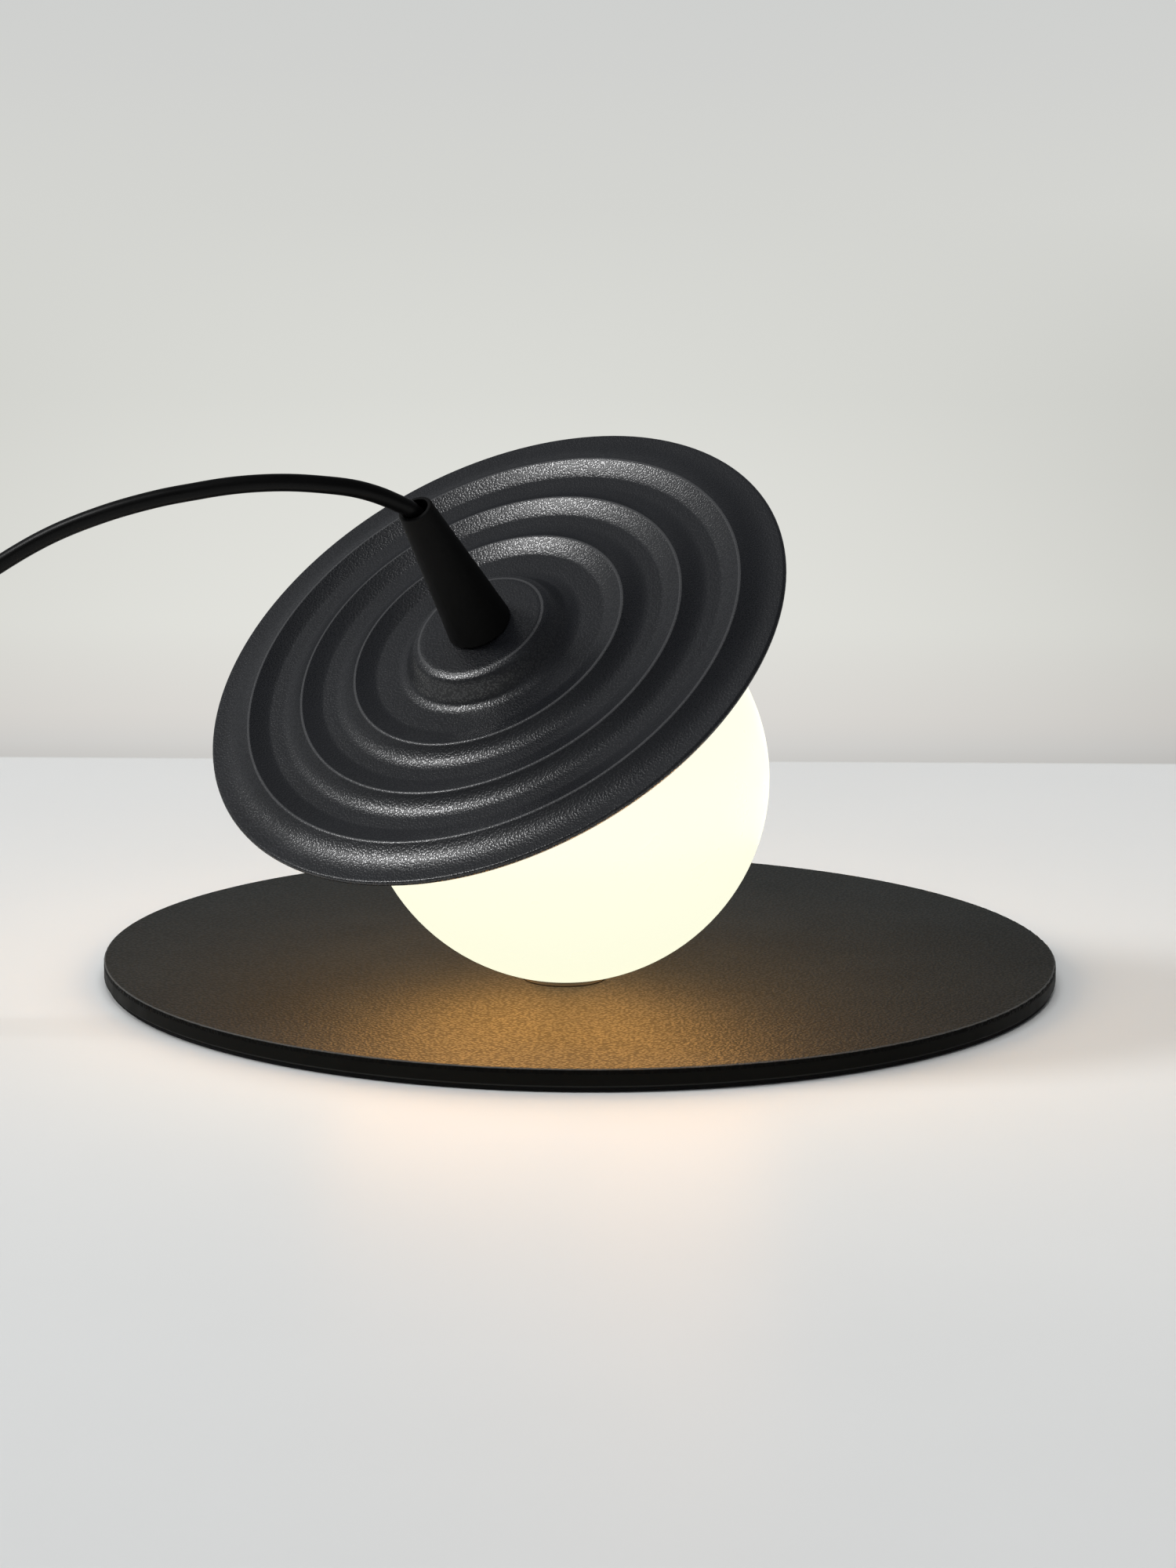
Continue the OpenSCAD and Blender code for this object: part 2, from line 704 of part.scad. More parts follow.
// Lampholder and bulb
module lampholder() {
    edge = 1.2;
    r = holder_d / 2;
    socket_l = stem_in_holder + 2 * fit_gap;
    wire_s = holder_low_s + contact_l + 1;
    color([0.93, 0.92, 0.89]) at_head() difference() {
        rotate_extrude() polygon([
            [0, holder_low_s], [r - edge, holder_low_s], [r, holder_low_s + edge], [r, holder_s - edge],
            [r - edge, holder_s], [0, holder_s]
        ]);
        translate([0, 0, holder_s - socket_l]) cylinder(r = stem_hole_r, h = socket_l + 1);
        translate([0, 0, wire_s]) cylinder(r = holder_bore_r, h = holder_s - wire_s);
        for (side = [-1, 1])
            translate([side * bulb_pin_pitch / 2, 0, holder_low_s - 1])
                cylinder(r = contact_r + fit_gap, h = contact_l + 1.5);
    }
}

module holder_contacts() {
    color([0.8, 0.7, 0.4]) at_head()
        for (side = [-1, 1])
            translate([side * bulb_pin_pitch / 2, 0, 0])
                ring(2 * contact_r, 2 * (contact_r - contact_wall), contact_l, holder_low_s);
}

module bulb_pins() {
    color([0.8, 0.8, 0.8]) at_head()
        for (side = [-1, 1])
            translate([side * bulb_pin_pitch / 2, 0, bulb_s]) cylinder(d = bulb_pin_d, h = contact_l - 1);
}

module bulb_foot() {
    color([0.9, 0.9, 0.88]) at_head() translate([0, 0, bulb_cover_s])
        cylinder(d1 = bulb_d - 1, d2 = bulb_d - 3, h = bulb_foot_l);
}

module bulb_cover() {
    r = bulb_d / 2;
    color([1, 0.96, 0.85]) at_head() translate([0, 0, bulb_cover_s]) difference() {
        union() {
            translate([0, 0, r - bulb_l]) cylinder(r = r, h = bulb_l - r);
            translate([0, 0, r - bulb_l]) sphere(r = r);
        }
        translate([0, 0, r - bulb_l]) cylinder(r = r - bulb_cover_t, h = bulb_l);
        translate([0, 0, r - bulb_l]) sphere(r = r - bulb_cover_t);
    }
}

module bulb_led() {
    l = bulb_l - bulb_d / 2;
    color([1, 0.85, 0.4]) at_head() translate([0, 0, bulb_cover_s - l]) cylinder(d = bulb_led_d, h = l);
}

// Cord from the grip to the switch
module cord_lead() {
    into_switch = switch_at + [0, -cord_end_x, cord_z];
    route = concat(
        lead_in_cone,
        lead_arch,
        [switch_at + [0, -relief_end, cord_z], switch_at + [0, -switch_l / 2, cord_z], into_switch]
    );
    color([0.05, 0.05, 0.05]) tube(smooth(route), cord_r, 10);
}

// Switch housing: two shells on the cord, screwed together from below
module switch_outline() {
    round_rect(switch_l, switch_w, shell_r);
}

module switch_room() {
    round_rect(switch_l - 2 * switch_wall, switch_w - 2 * switch_wall, shell_r - switch_wall);
}

module switch_posts(r, h) {
    for (side = [-1, 1])
        translate([side * screw_x, side * screw_y, 0]) cylinder(r = r, h = h);
}

module relief_holes() {
    for (side = [-1, 1])
        translate([side * switch_l / 2, 0, cord_z]) mirror([side < 0 ? 0 : 1, 0, 0])
            translate([-1, 0, 0]) rod(relief_neck_r + fit_gap, switch_wall + 2);
}

module switch_base() {
    color([0.06, 0.06, 0.06]) at_switch() difference() {
        union() {
            difference() {
                linear_extrude(cord_z) switch_outline();
                translate([0, 0, switch_wall]) linear_extrude(cord_z) switch_room();
            }
            translate([0, 0, switch_wall / 2]) switch_posts(screw_boss_r, cord_z - switch_wall / 2);
        }
        translate([0, 0, -1]) switch_posts(screw_d / 2 + fit_gap, cord_z + 2);
        translate([0, 0, -1]) switch_posts(screw_head_d / 2 + fit_gap, screw_head_t + 1);
        relief_holes();
    }
}

module switch_cover() {
    rise = switch_h - cord_z;
    crown_r = 60;
    color([0.07, 0.07, 0.07]) at_switch() difference() {
        union() {
            intersection() {
                difference() {
                    translate([0, 0, cord_z]) linear_extrude(rise) switch_outline();
                    translate([0, 0, cord_z - 1]) linear_extrude(rise + 1 - switch_wall) switch_room();
                }
                translate([-switch_l, 0, switch_h - crown_r]) rod(crown_r, 2 * switch_l);
            }
            translate([0, 0, cord_z]) switch_posts(screw_boss_r, rise - switch_wall / 2);
            for (side = [-1, 1])
                translate([-ear_t, side * (window_w / 2 + ear_t / 2) - ear_t / 2, rocker_z - 2.4])
                    cube([2 * ear_t, ear_t, switch_h - switch_wall / 2 - rocker_z + 2.4 - 0.4]);
        }
        translate([-window_l / 2, -window_w / 2, cord_z]) cube([window_l, window_w, rise + 1]);
        translate([0, -window_w / 2 - ear_t, rocker_z]) rotate([-90, 0, 0])
            cylinder(d = rocker_pin_d + 2 * fit_gap, h = window_w + 2 * ear_t);
        translate([0, 0, cord_z - 1]) switch_posts(screw_d / 2 + fit_gap, screw_l - cord_z + 2);
        relief_holes();
    }
}

module switch_screws() {
    color([0.55, 0.55, 0.57]) at_switch() {
        translate([0, 0, fit_gap]) switch_posts(screw_head_d / 2, screw_head_t - fit_gap);
        translate([0, 0, fit_gap]) switch_posts(screw_d / 2, screw_l - fit_gap);
    }
}

module switch_reliefs() {
    color([0.05, 0.05, 0.05]) at_switch()
        for (side = [0, 1])
            mirror([side, 0, 0]) translate([switch_l / 2, 0, cord_z]) rotate([0, 90, 0]) difference() {
                rotate_extrude() polygon([
                    [0, -switch_wall - fit_gap - relief_flange_t],
                    [relief_d / 2, -switch_wall - fit_gap - relief_flange_t],
                    [relief_d / 2, -switch_wall - fit_gap],
                    [relief_neck_r, -switch_wall - fit_gap],
                    [relief_neck_r, fit_gap],
                    [relief_d / 2, fit_gap],
                    [relief_tip_d / 2, relief_l],
                    [0, relief_l]
                ]);
                translate([0, 0, -10]) cylinder(r = cord_bore_r, h = relief_l + 20);
            }
}

module switch_terminals() {
    arm_t = 1;
    color([0.8, 0.68, 0.38]) at_switch()
        for (side = [0, 1])
            mirror([side, 0, 0]) {
                translate([terminal_x, -terminal_w / 2, switch_wall])
                    cube([terminal_l, terminal_w, terminal_h]);
                translate([bridge_l / 4, -terminal_w / 2, switch_wall + terminal_h - arm_t])
                    cube([terminal_x - bridge_l / 4, terminal_w, arm_t]);
            }
}

// Rocker: it turns on its pin, and rests with one wing pressed home
module at_rocker() {
    at_switch() translate([0, 0, rocker_z]) rotate([0, rocker_swing, 0]) children();
}

module rocker_pin() {
    l = window_w + 2 * ear_t;
    color([0.7, 0.7, 0.72]) at_switch() translate([0, -l / 2, rocker_z]) rotate([-90, 0, 0])
        cylinder(d = rocker_pin_d, h = l);
}

module rocker() {
    mid_h = 3.4;
    wing_h = mid_h + rocker_r * tan(rocker_swing);
    wing_t = 2.6;
    color([0.09, 0.09, 0.09]) at_rocker() difference() {
        translate([0, rocker_w / 2, 0]) rotate([90, 0, 0]) linear_extrude(rocker_w) {
            intersection() {
                polygon([
                    [-rocker_r - 1, wing_h - wing_t], [-rocker_hub_r, mid_h - wing_t],
                    [rocker_hub_r, mid_h - wing_t], [rocker_r + 1, wing_h - wing_t],
                    [rocker_r, wing_h], [0, mid_h], [-rocker_r, wing_h]
                ]);
                circle(r = rocker_r + free_gap);
            }
            intersection() {
                circle(r = rocker_hub_r);
                translate([-rocker_hub_r, -rocker_hub_r])
                    square([2 * rocker_hub_r, rocker_hub_r + mid_h - wing_t + 0.5]);
            }
        }
        translate([0, -rocker_w, 0]) rotate([-90, 0, 0])
            cylinder(d = rocker_pin_d + 2 * run_gap, h = 2 * rocker_w);
        translate([-rocker_hub_r, -bridge_w / 2 - fit_gap, -rocker_hub_r - 1])
            cube([2 * rocker_hub_r, bridge_w + 2 * fit_gap, 1 + bridge_t]);
    }
}

module rocker_bridge() {
    color([0.8, 0.68, 0.38]) at_rocker()
        translate([-bridge_l / 2, -bridge_w / 2, -rocker_hub_r])
            cube([bridge_l, bridge_w, bridge_t - fit_gap]);
}

// Cord from the switch to the coil
module cord_link() {
    route = concat(
        [switch_at + [0, cord_end_x, cord_z], switch_at + [0, switch_l / 2, cord_z]],
        [switch_at + [0, relief_end, cord_z]],
        link_bend,
        [coil_start - [3 * cord_d, 0, 0], coil_start - [cord_d, 0, 0]]
    );
    color([0.05, 0.05, 0.05]) tube(smooth(route), cord_r, 10);
}

module cord_coil() {
    color([0.05, 0.05, 0.05]) tube(coil_path, cord_r, 6);
}

// Tie: a strap round the coil, across all its turns
module coil_tie() {
    slack = 0.5;
    inner = coil_inner_r - coil_pitch / 8 - cord_r - slack;
    outer = max(coil_r, coil_end_r) + cord_r + slack;
    high = coil_low_z + coil_pitch + cord_r + fit_gap + tie_t;
    corner = [coil_at[0] - outer - tie_t, coil_at[1] - tie_w / 2, 0];
    color([0.12, 0.12, 0.12]) translate(corner) difference() {
        cube([outer - inner + 2 * tie_t, tie_w, high]);
        translate([tie_t, -1, tie_t]) cube([outer - inner, tie_w + 2, high - 2 * tie_t]);
    }
}

// Cord from the coil to the plug
module cord_tail() {
    start = coil_end - [0, cord_d, 0];
    mouth = plug_at + [0, plug_back, plug_z];
    route = [
        start, start - [0, cord_d, 0], (start + mouth) / 2, mouth + [0, cord_d, 0], mouth,
        mouth - [0, plug_cord_in, 0]
    ];
    color([0.05, 0.05, 0.05]) tube(smooth(route), cord_r, 10);
}

// Plug: a flat moulded body with a ribbed strain relief and two sleeved pins
module plug_body() {
    waist = 2 * plug_relief_r + 3;
    shoulder = plug_l * 0.35;
    color([0.05, 0.05, 0.05]) at_plug() difference() {
        union() {
            intersection() {
                translate([0, 0, -plug_h / 2]) linear_extrude(plug_h) polygon([
                    [0, -plug_w / 2], [0, plug_w / 2], [-shoulder, plug_w / 2], [-plug_l, waist / 2],
                    [-plug_l, -waist / 2], [-shoulder, -plug_w / 2]
                ]);
                translate([0, plug_w, 0]) rotate([90, 0, 0]) linear_extrude(2 * plug_w)
                    translate([-plug_l / 2, 0]) round_rect(plug_l, plug_h, 2);
            }
            translate([-plug_back, 0, 0]) rod(plug_relief_tip_r, plug_relief_l + 4);
            for (i = [0 : 4]) {
                rib_r = plug_relief_tip_r + (plug_relief_r - plug_relief_tip_r) * (i + 1) / 5;
                translate([-plug_back + i * plug_relief_l / 5 + 1.4, 0, 0]) rod(rib_r, 3);
            }
            for (side = [-1, 1])
                translate([-1, side * plug_pin_pitch / 2, 0]) rod(plug_pin_d / 2, plug_sleeve_l + 1);
        }
        translate([-plug_back - 1, 0, 0]) rod(cord_bore_r, plug_cord_in + 1);
        for (side = [-1, 1])
            translate([-plug_root_l - 1, side * plug_pin_pitch / 2, 0])
                rod(plug_core_r + fit_gap / 2, plug_root_l + plug_sleeve_l + 2);
    }
}

module plug_pins() {
    tip = 1;
    r = plug_pin_d / 2;
    color([0.8, 0.78, 0.7]) at_plug()
        for (side = [-1, 1])
            translate([0, side * plug_pin_pitch / 2, 0]) rotate([0, 90, 0]) rotate_extrude() polygon(concat(
                [[0, -plug_root_l], [plug_core_r, -plug_root_l], [plug_core_r, plug_sleeve_l + fit_gap]],
                [[r, plug_sleeve_l + fit_gap]],
                [for (a = [0 : 30 : 90]) [r - tip + tip * cos(a), plug_pin_l - tip + tip * sin(a)]],
                [[0, plug_pin_l]]
            ));
}

base_plate();
base_leather();
base_pad();
pivot_bush();
globe_seat();
pivot_screw();
spring_washer();
foot_washer();
foot_nut();
globe();
globe_collar();
hat_leather();
hat_core();
cone();
stem();
stem_washer();
stem_nut();
cord_grip();
grip_screw();
lead_wires();
lampholder();
holder_contacts();
bulb_cover();
bulb_foot();
bulb_pins();
bulb_led();
cord_lead();
switch_base();
switch_cover();
switch_screws();
switch_reliefs();
switch_terminals();
rocker_pin();
rocker();
rocker_bridge();
cord_link();
cord_coil();
coil_tie();
cord_tail();
plug_body();
plug_pins();
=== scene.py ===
import json
import math

import bpy
from mathutils import Matrix, Vector

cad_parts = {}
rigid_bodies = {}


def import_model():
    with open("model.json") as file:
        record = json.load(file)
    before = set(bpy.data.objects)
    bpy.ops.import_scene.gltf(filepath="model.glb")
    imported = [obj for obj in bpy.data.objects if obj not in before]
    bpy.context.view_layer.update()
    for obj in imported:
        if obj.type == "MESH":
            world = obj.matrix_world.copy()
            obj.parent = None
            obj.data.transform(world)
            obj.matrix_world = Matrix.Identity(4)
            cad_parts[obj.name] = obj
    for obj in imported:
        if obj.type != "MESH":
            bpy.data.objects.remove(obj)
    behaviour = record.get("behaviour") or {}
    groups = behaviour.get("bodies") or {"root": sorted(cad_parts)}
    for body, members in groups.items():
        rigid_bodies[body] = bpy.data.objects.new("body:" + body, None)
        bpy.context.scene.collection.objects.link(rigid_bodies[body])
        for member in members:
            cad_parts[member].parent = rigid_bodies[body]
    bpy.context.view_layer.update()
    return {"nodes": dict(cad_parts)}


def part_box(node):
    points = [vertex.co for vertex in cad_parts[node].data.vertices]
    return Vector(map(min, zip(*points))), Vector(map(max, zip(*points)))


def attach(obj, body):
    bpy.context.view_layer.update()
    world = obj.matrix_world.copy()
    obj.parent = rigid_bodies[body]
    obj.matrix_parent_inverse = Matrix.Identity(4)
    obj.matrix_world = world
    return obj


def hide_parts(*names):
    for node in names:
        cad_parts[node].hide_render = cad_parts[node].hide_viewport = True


for thing in list(bpy.data.objects):
    bpy.data.objects.remove(thing)
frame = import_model()

# Camera
# A long lens stands in front of the lamp, a little above it, and looks slightly down. The
# picture is three wide to four high, and its right side hangs a third of a degree low.
camera_place = (0.00222, -1.5587, 0.3659)
camera_down = math.radians(11.07)
camera_roll = math.radians(0.34)
level = Vector((1, 0, 0))
upward = Vector((0, math.sin(camera_down), math.cos(camera_down)))
backward = Vector((0, -math.cos(camera_down), math.sin(camera_down)))
picture_right = math.cos(camera_roll) * level + math.sin(camera_roll) * upward
picture_up = math.cos(camera_roll) * upward - math.sin(camera_roll) * level
camera = bpy.data.objects.new("camera", bpy.data.cameras.new("camera"))
camera.data.sensor_width = 36
camera.data.lens = 116
camera_turn = Matrix((picture_right, picture_up, backward)).transposed().to_4x4()
camera.matrix_world = Matrix.Translation(camera_place) @ camera_turn
bpy.context.scene.collection.objects.link(camera)
bpy.context.scene.camera = camera

# Base pad
# A thin disc of black foam rubber is glued under the plate, so that the lamp stands softly. Its
# cut edge is open-celled and stands a little back from the plate.
mm = 0.001


def feed(tree, socket, value):
    """Links an input to another socket, or sets it to a plain value."""
    if isinstance(value, bpy.types.NodeSocket):
        tree.links.new(value, socket)
    else:
        socket.default_value = value


def step(tree, kind, inputs):
    """One node of a tree with its inputs fed. Returns its outputs."""
    node = tree.nodes.new(kind)
    for key, value in inputs.items():
        feed(tree, node.inputs[key], value)
    return node.outputs


def new_finish(name):
    """A material with an empty tree, and the Object coordinates in it."""
    finish = bpy.data.materials.new(name)
    finish.use_nodes = True
    finish.node_tree.nodes.clear()
    return finish, finish.node_tree, step(finish.node_tree, "ShaderNodeTexCoord", {})["Object"]


def lay_skin(tree, inputs):
    """Ends a material's tree with one Principled shader."""
    skin = step(tree, "ShaderNodeBsdfPrincipled", inputs)["BSDF"]
    step(tree, "ShaderNodeOutputMaterial", {"Surface": skin})


def mottle(tree, place, size, detail=3.0):
    """A soft noise with spots of a size in metres."""
    return step(tree, "ShaderNodeTexNoise", {"Vector": place, "Scale": 1 / size, "Detail": detail})[0]


def spread(tree, value, low, high, to_low, to_high):
    """A value from one range carried over to another."""
    return step(tree, "ShaderNodeMapRange", {
        "Value": value, "From Min": low, "From Max": high, "To Min": to_low, "To Max": to_high,
    })["Result"]


def two_tone(tree, share, first, second):
    """A colour between two, each a socket or three numbers, by a share from 0 to 1."""
    mix = tree.nodes.new("ShaderNodeMix")
    mix.data_type = "RGBA"
    feed(tree, mix.inputs[0], share)
    for socket, colour in ((mix.inputs[6], first), (mix.inputs[7], second)):
        feed(tree, socket, colour if isinstance(colour, bpy.types.NodeSocket) else (*colour, 1))
    return mix.outputs[2]


def raised(tree, height, strength, depth):
    """The normal of a surface that a height between 0 and 1 raises, depth metres deep."""
    bump = {"Height": height, "Strength": strength, "Distance": depth}
    return step(tree, "ShaderNodeBump", bump)["Normal"]


def moulded_finish(name, colour, roughness, grain=0.5 * mm, depth=0.03 * mm, specular=0.5):
    """A moulded skin of plastic or rubber: fine spark grain, cloudy gloss and a little dust."""
    finish, tree, place = new_finish(name)
    cloud = mottle(tree, place, 18 * mm)
    dark = [c * 0.84 for c in colour]
    light = [min(1, c * 1.18 + 0.001) for c in colour]
    lay_skin(tree, {
        "Base Color": two_tone(tree, cloud, dark, light),
        "Roughness": spread(tree, cloud, 0.3, 0.7, roughness - 0.06, roughness + 0.06),
        "Specular IOR Level": specular,
        "Normal": raised(tree, mottle(tree, place, grain, 2.0), 0.35, depth),
    })
    return finish


def dress(finish, *nodes):
    """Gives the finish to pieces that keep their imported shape."""
    for name in nodes:
        skin = frame["nodes"][name].data.materials
        skin.clear()
        skin.append(finish)


pad_foam = moulded_finish("pad_foam", (0.008, 0.008, 0.008), roughness=0.9, grain=0.35 * mm,
                          depth=0.12 * mm, specular=0.2)
dress(pad_foam, "base_pad")

# Base plate
# A heavy round steel plate, turned and sprayed black. Only its edge shows, with a fine
# orange-peel ripple in the paint and a painted highlight, a lighter line along the lower corner.
plate_dark = (0.0072, 0.0072, 0.0062)
plate_light = (0.0102, 0.0102, 0.009)
plate_painted_highlight = (0.03, 0.03, 0.028)
plate_paint, plate_tree, plate_place = new_finish("plate_paint")
plate_cloud = mottle(plate_tree, plate_place, 6 * mm)
plate_up = step(plate_tree, "ShaderNodeSeparateXYZ", {0: plate_place})["Z"]
# The lighter line along the lower corner is a painted highlight.
plate_highlight_line = spread(plate_tree, plate_up, 1.7 * mm, 1.85 * mm, 1.0, 0.0)
plate_colour = two_tone(plate_tree, plate_cloud, plate_dark, plate_light)
plate_peel = mottle(plate_tree, plate_place, 1.2 * mm)
lay_skin(plate_tree, {
    "Base Color": two_tone(plate_tree, plate_highlight_line, plate_colour, plate_painted_highlight),
    "Roughness": spread(plate_tree, plate_cloud, 0.3, 0.7, 0.44, 0.56),
    "Specular IOR Level": 0.03,
    "Normal": raised(plate_tree, plate_peel, 0.2, 0.05 * mm),
})
dress(plate_paint, "base_plate")


# Base leather
# A round of dark grained leather is glued on the plate. Its upper edge is round and carries a
# painted highlight, a lighter line; its cut side is dyed black, and a hole in it takes the soft seat under
# the globe.
def reckon(tree, operation, *values, kind="ShaderNodeMath", output=0):
    """One sum of a tree, fed by sockets or plain values. Returns one output."""
    node = tree.nodes.new(kind)
    node.operation = operation
    for socket, value in zip(node.inputs, values):
        feed(tree, socket, value)
    return node.outputs[output]


vector_sum = "ShaderNodeVectorMath"
edge_highlight_tone = (0.1, 0.1, 0.096)
dyed_tone = (0.0055, 0.0055, 0.005)


def leather_finish(name, colour, grain, roughness, depth, specular, edge=None, crests=None):
    """Grained leather: pebbles with dull creases, a dyed edge with a painted highlight along its top, and
    lighter crest rings that are partly wear, partly a painted highlight.
    """
    finish, tree, place = new_finish(name)
    wander = step(tree, "ShaderNodeTexNoise", {"Vector": place, "Scale": 0.6 / grain, "Detail": 2})[1]
    sway = (grain / 2, grain / 2, grain / 2)
    swayed = reckon(tree, "MULTIPLY_ADD", wander, sway, place, kind=vector_sum)
    pebble = step(tree, "ShaderNodeTexVoronoi", {"Vector": swayed, "Scale": 1 / grain})["Distance"]
    crown = spread(tree, reckon(tree, "POWER", pebble, 2), 0.0, 0.4, 1.0, 0.0)
    pores = mottle(tree, place, grain * 0.35, 2.0)
    height = reckon(tree, "MULTIPLY_ADD", pores, 0.2, crown)
    hide = mottle(tree, place, 28 * mm)
    skin = two_tone(tree, hide, [c * 0.8 for c in colour], [c * 1.2 for c in colour])
    shine = spread(tree, crown, 0.0, 1.0, specular * 0.5, specular)
    if edge:
        dyed_up, highlight_up = edge
        up = step(tree, "ShaderNodeSeparateXYZ", {0: place})["Z"]
        # A lighter band along the top of the edge: a painted highlight.
        painted_highlight = spread(tree, up, highlight_up - 0.08 * mm, highlight_up, 1.0, 0.0)
        dyed = spread(tree, up, dyed_up - 0.1 * mm, dyed_up + 0.1 * mm, 1.0, 0.0)
        skin = two_tone(tree, painted_highlight, skin, edge_highlight_tone)
        skin = two_tone(tree, dyed, skin, dyed_tone)
        shine = reckon(tree, "MULTIPLY", shine, spread(tree, dyed, 0.0, 1.0, 1.0, 0.25))
    if crests:
        middle, axis, radii, crest_line_half, crest_line_tone = crests
        reach = reckon(tree, "SUBTRACT", place, middle, kind=vector_sum)
        across = reckon(tree, "CROSS_PRODUCT", reach, axis, kind=vector_sum)
        off_axis = reckon(tree, "LENGTH", across, kind=vector_sum, output="Value")
        for radius in radii:
            # Lighter rings at the crests: partly wear on the crease, partly a painted highlight.
            on_crest_line = reckon(tree, "COMPARE", off_axis, radius, crest_line_half)
            skin = two_tone(tree, on_crest_line, skin, crest_line_tone)
    lay_skin(tree, {
        "Base Color": skin,
        "Roughness": spread(tree, crown, 0.0, 1.0, roughness + 0.16, roughness),
        "Specular IOR Level": shine,
        "Normal": raised(tree, height, 0.5, depth),
    })
    return finish


base_leather = leather_finish("base_leather", (0.0185, 0.0212, 0.0215), grain=1.05 * mm, roughness=0.52,
                              depth=0.3 * mm, specular=0.2, edge=(6.45 * mm, 6.8 * mm))
dress(base_leather, "base_leather")

# Pivot in the base
# A nylon bush is pressed into the plate and a soft rubber seat is laid round it. Both stay with
# the plate while the lamp's head turns on them. The foot's washer and the cord grip are nylon too.
nylon = moulded_finish("nylon", (0.62, 0.6, 0.55), roughness=0.42, grain=0.8 * mm, depth=0.02 * mm)
dress(nylon, "pivot_bush", "foot_washer", "cord_grip")
seat_rubber = moulded_finish("seat_rubber", (0.007, 0.007, 0.007), roughness=0.7, grain=0.3 * mm,
                             depth=0.05 * mm, specular=0.3)
dress(seat_rubber, "globe_seat")


# Screws, washers, nuts and contacts
# Bright turned steel screws and washers and brass nuts hold the globe on the base and clamp the
# hat, the collar and the lampholder on the stem. Pins are of the steel, contacts of the brass.
def metal_finish(name, colour, roughness, lathe):
    """Turned metal: fine lathe lines and cloudy gloss."""
    finish, tree, place = new_finish(name)
    stretched = step(tree, "ShaderNodeMapping", {"Vector": place, "Scale": lathe})["Vector"]
    lines = mottle(tree, stretched, 0.8 * mm, 2.0)
    cloud = mottle(tree, place, 7 * mm)
    dark = [c * 0.82 for c in colour]
    light = [min(1, c * 1.08) for c in colour]
    lay_skin(tree, {
        "Base Color": two_tone(tree, cloud, dark, light),
        "Metallic": 1.0,
        "Roughness": spread(tree, lines, 0.3, 0.7, roughness - 0.07, roughness + 0.1),
        "Normal": raised(tree, lines, 0.25, 0.02 * mm),
    })
    return finish


bright_steel = metal_finish("bright_steel", (0.55, 0.55, 0.57), roughness=0.3, lathe=(1, 1, 6))
turned_brass = metal_finish("turned_brass", (0.66, 0.47, 0.19), roughness=0.32, lathe=(1, 1, 6))
dress(bright_steel, "pivot_screw", "spring_washer", "stem_washer", "stem_nut", "grip_screw", "bulb_pins",
      "switch_screws", "rocker_pin")
dress(turned_brass, "foot_nut", "stem", "holder_contacts", "switch_terminals", "rocker_bridge")

# Globe
# A blown opal glass ball with a satin skin, screwed to the pivot through its foot. It glows
# evenly because the bulb is inside, and a little warmer towards its foot.
globe_middle = Vector((-4.8, -35.2, 69.55)) * mm
foot_glow = (1.0, 1.0, 0.76)
middle_glow = (1.0, 1.0, 0.82)
opal_glass, opal_tree, opal_place = new_finish("opal_glass")
opal_up = step(opal_tree, "ShaderNodeSeparateXYZ", {0: opal_place})["Z"]
opal_rise = spread(opal_tree, opal_up, 7 * mm, 75 * mm, 0.0, 1.0)
opal_cloud = mottle(opal_tree, opal_place, 9 * mm)
opal_waves = mottle(opal_tree, opal_place, 14 * mm)
lay_skin(opal_tree, {
    "Emission Color": two_tone(opal_tree, opal_rise, foot_glow, middle_glow),
    "Emission Strength": 0.97,
    "Base Color": (0.16, 0.15, 0.12, 1),
    "Roughness": spread(opal_tree, opal_cloud, 0.3, 0.7, 0.26, 0.4),
    "Normal": raised(opal_tree, opal_waves, 0.1, 0.1 * mm),
})
dress(opal_glass, "globe")
frame["nodes"]["globe"].visible_shadow = False
frame["nodes"]["globe"].visible_glossy = False

# Collar
# A collar turned from aluminium and anodised black takes the globe's screw neck. The stem's nut
# clamps it under the hat.
dress(moulded_finish("collar_black", (0.012, 0.012, 0.012), roughness=0.5), "globe_collar")

# Hat core
# A spun aluminium disc carries the leather. It has the same ripple, and its bare underside
# throws the light down.
dress(metal_finish("spun_core", (0.62, 0.61, 0.59), roughness=0.42, lathe=(1, 1, 1)), "hat_core")

# Hat leather
# A round of charcoal leather, wet-moulded over the core in rings: each ring falls quickly from a
# sharp crest, runs through a rounded valley and rises slowly to the next. It is glued down. A
# lighter line along each crest and along the boss's edge is partly wear, partly a painted highlight.
hat_tilt = math.radians(38.4)
hat_lean = math.radians(232.4)
hat_axis = Vector((
    math.sin(hat_tilt) * math.cos(hat_lean),
    math.sin(hat_tilt) * math.sin(hat_lean),
    math.cos(hat_tilt),
))
rim_plane = 55.9
boss_edge = 20 * mm
first_crest = 43.4 * mm
crest_pitch = 18.2 * mm
crest_count = 3
crest_line_half = 0.4 * mm
crest_line_tone = (0.05, 0.051, 0.054)


def along_hat(s):
    """The point on the hat's axis that is s millimetres above the globe's middle."""
    return globe_middle + s * mm * hat_axis


def open_tree(name, output, *inputs):
    """A geometry tree with named inputs: the tree, their identifiers and their sockets."""
    tree = bpy.data.node_groups.new(name, "GeometryNodeTree")
    keys = {}
    for kind, names in inputs:
        for key in names:
            socket = tree.interface.new_socket(key, in_out="INPUT", socket_type="NodeSocket" + kind)
            keys[key] = socket.identifier
    tree.interface.new_socket(output, in_out="OUTPUT", socket_type="NodeSocketGeometry")
    return tree, keys, tree.nodes.new("NodeGroupInput").outputs


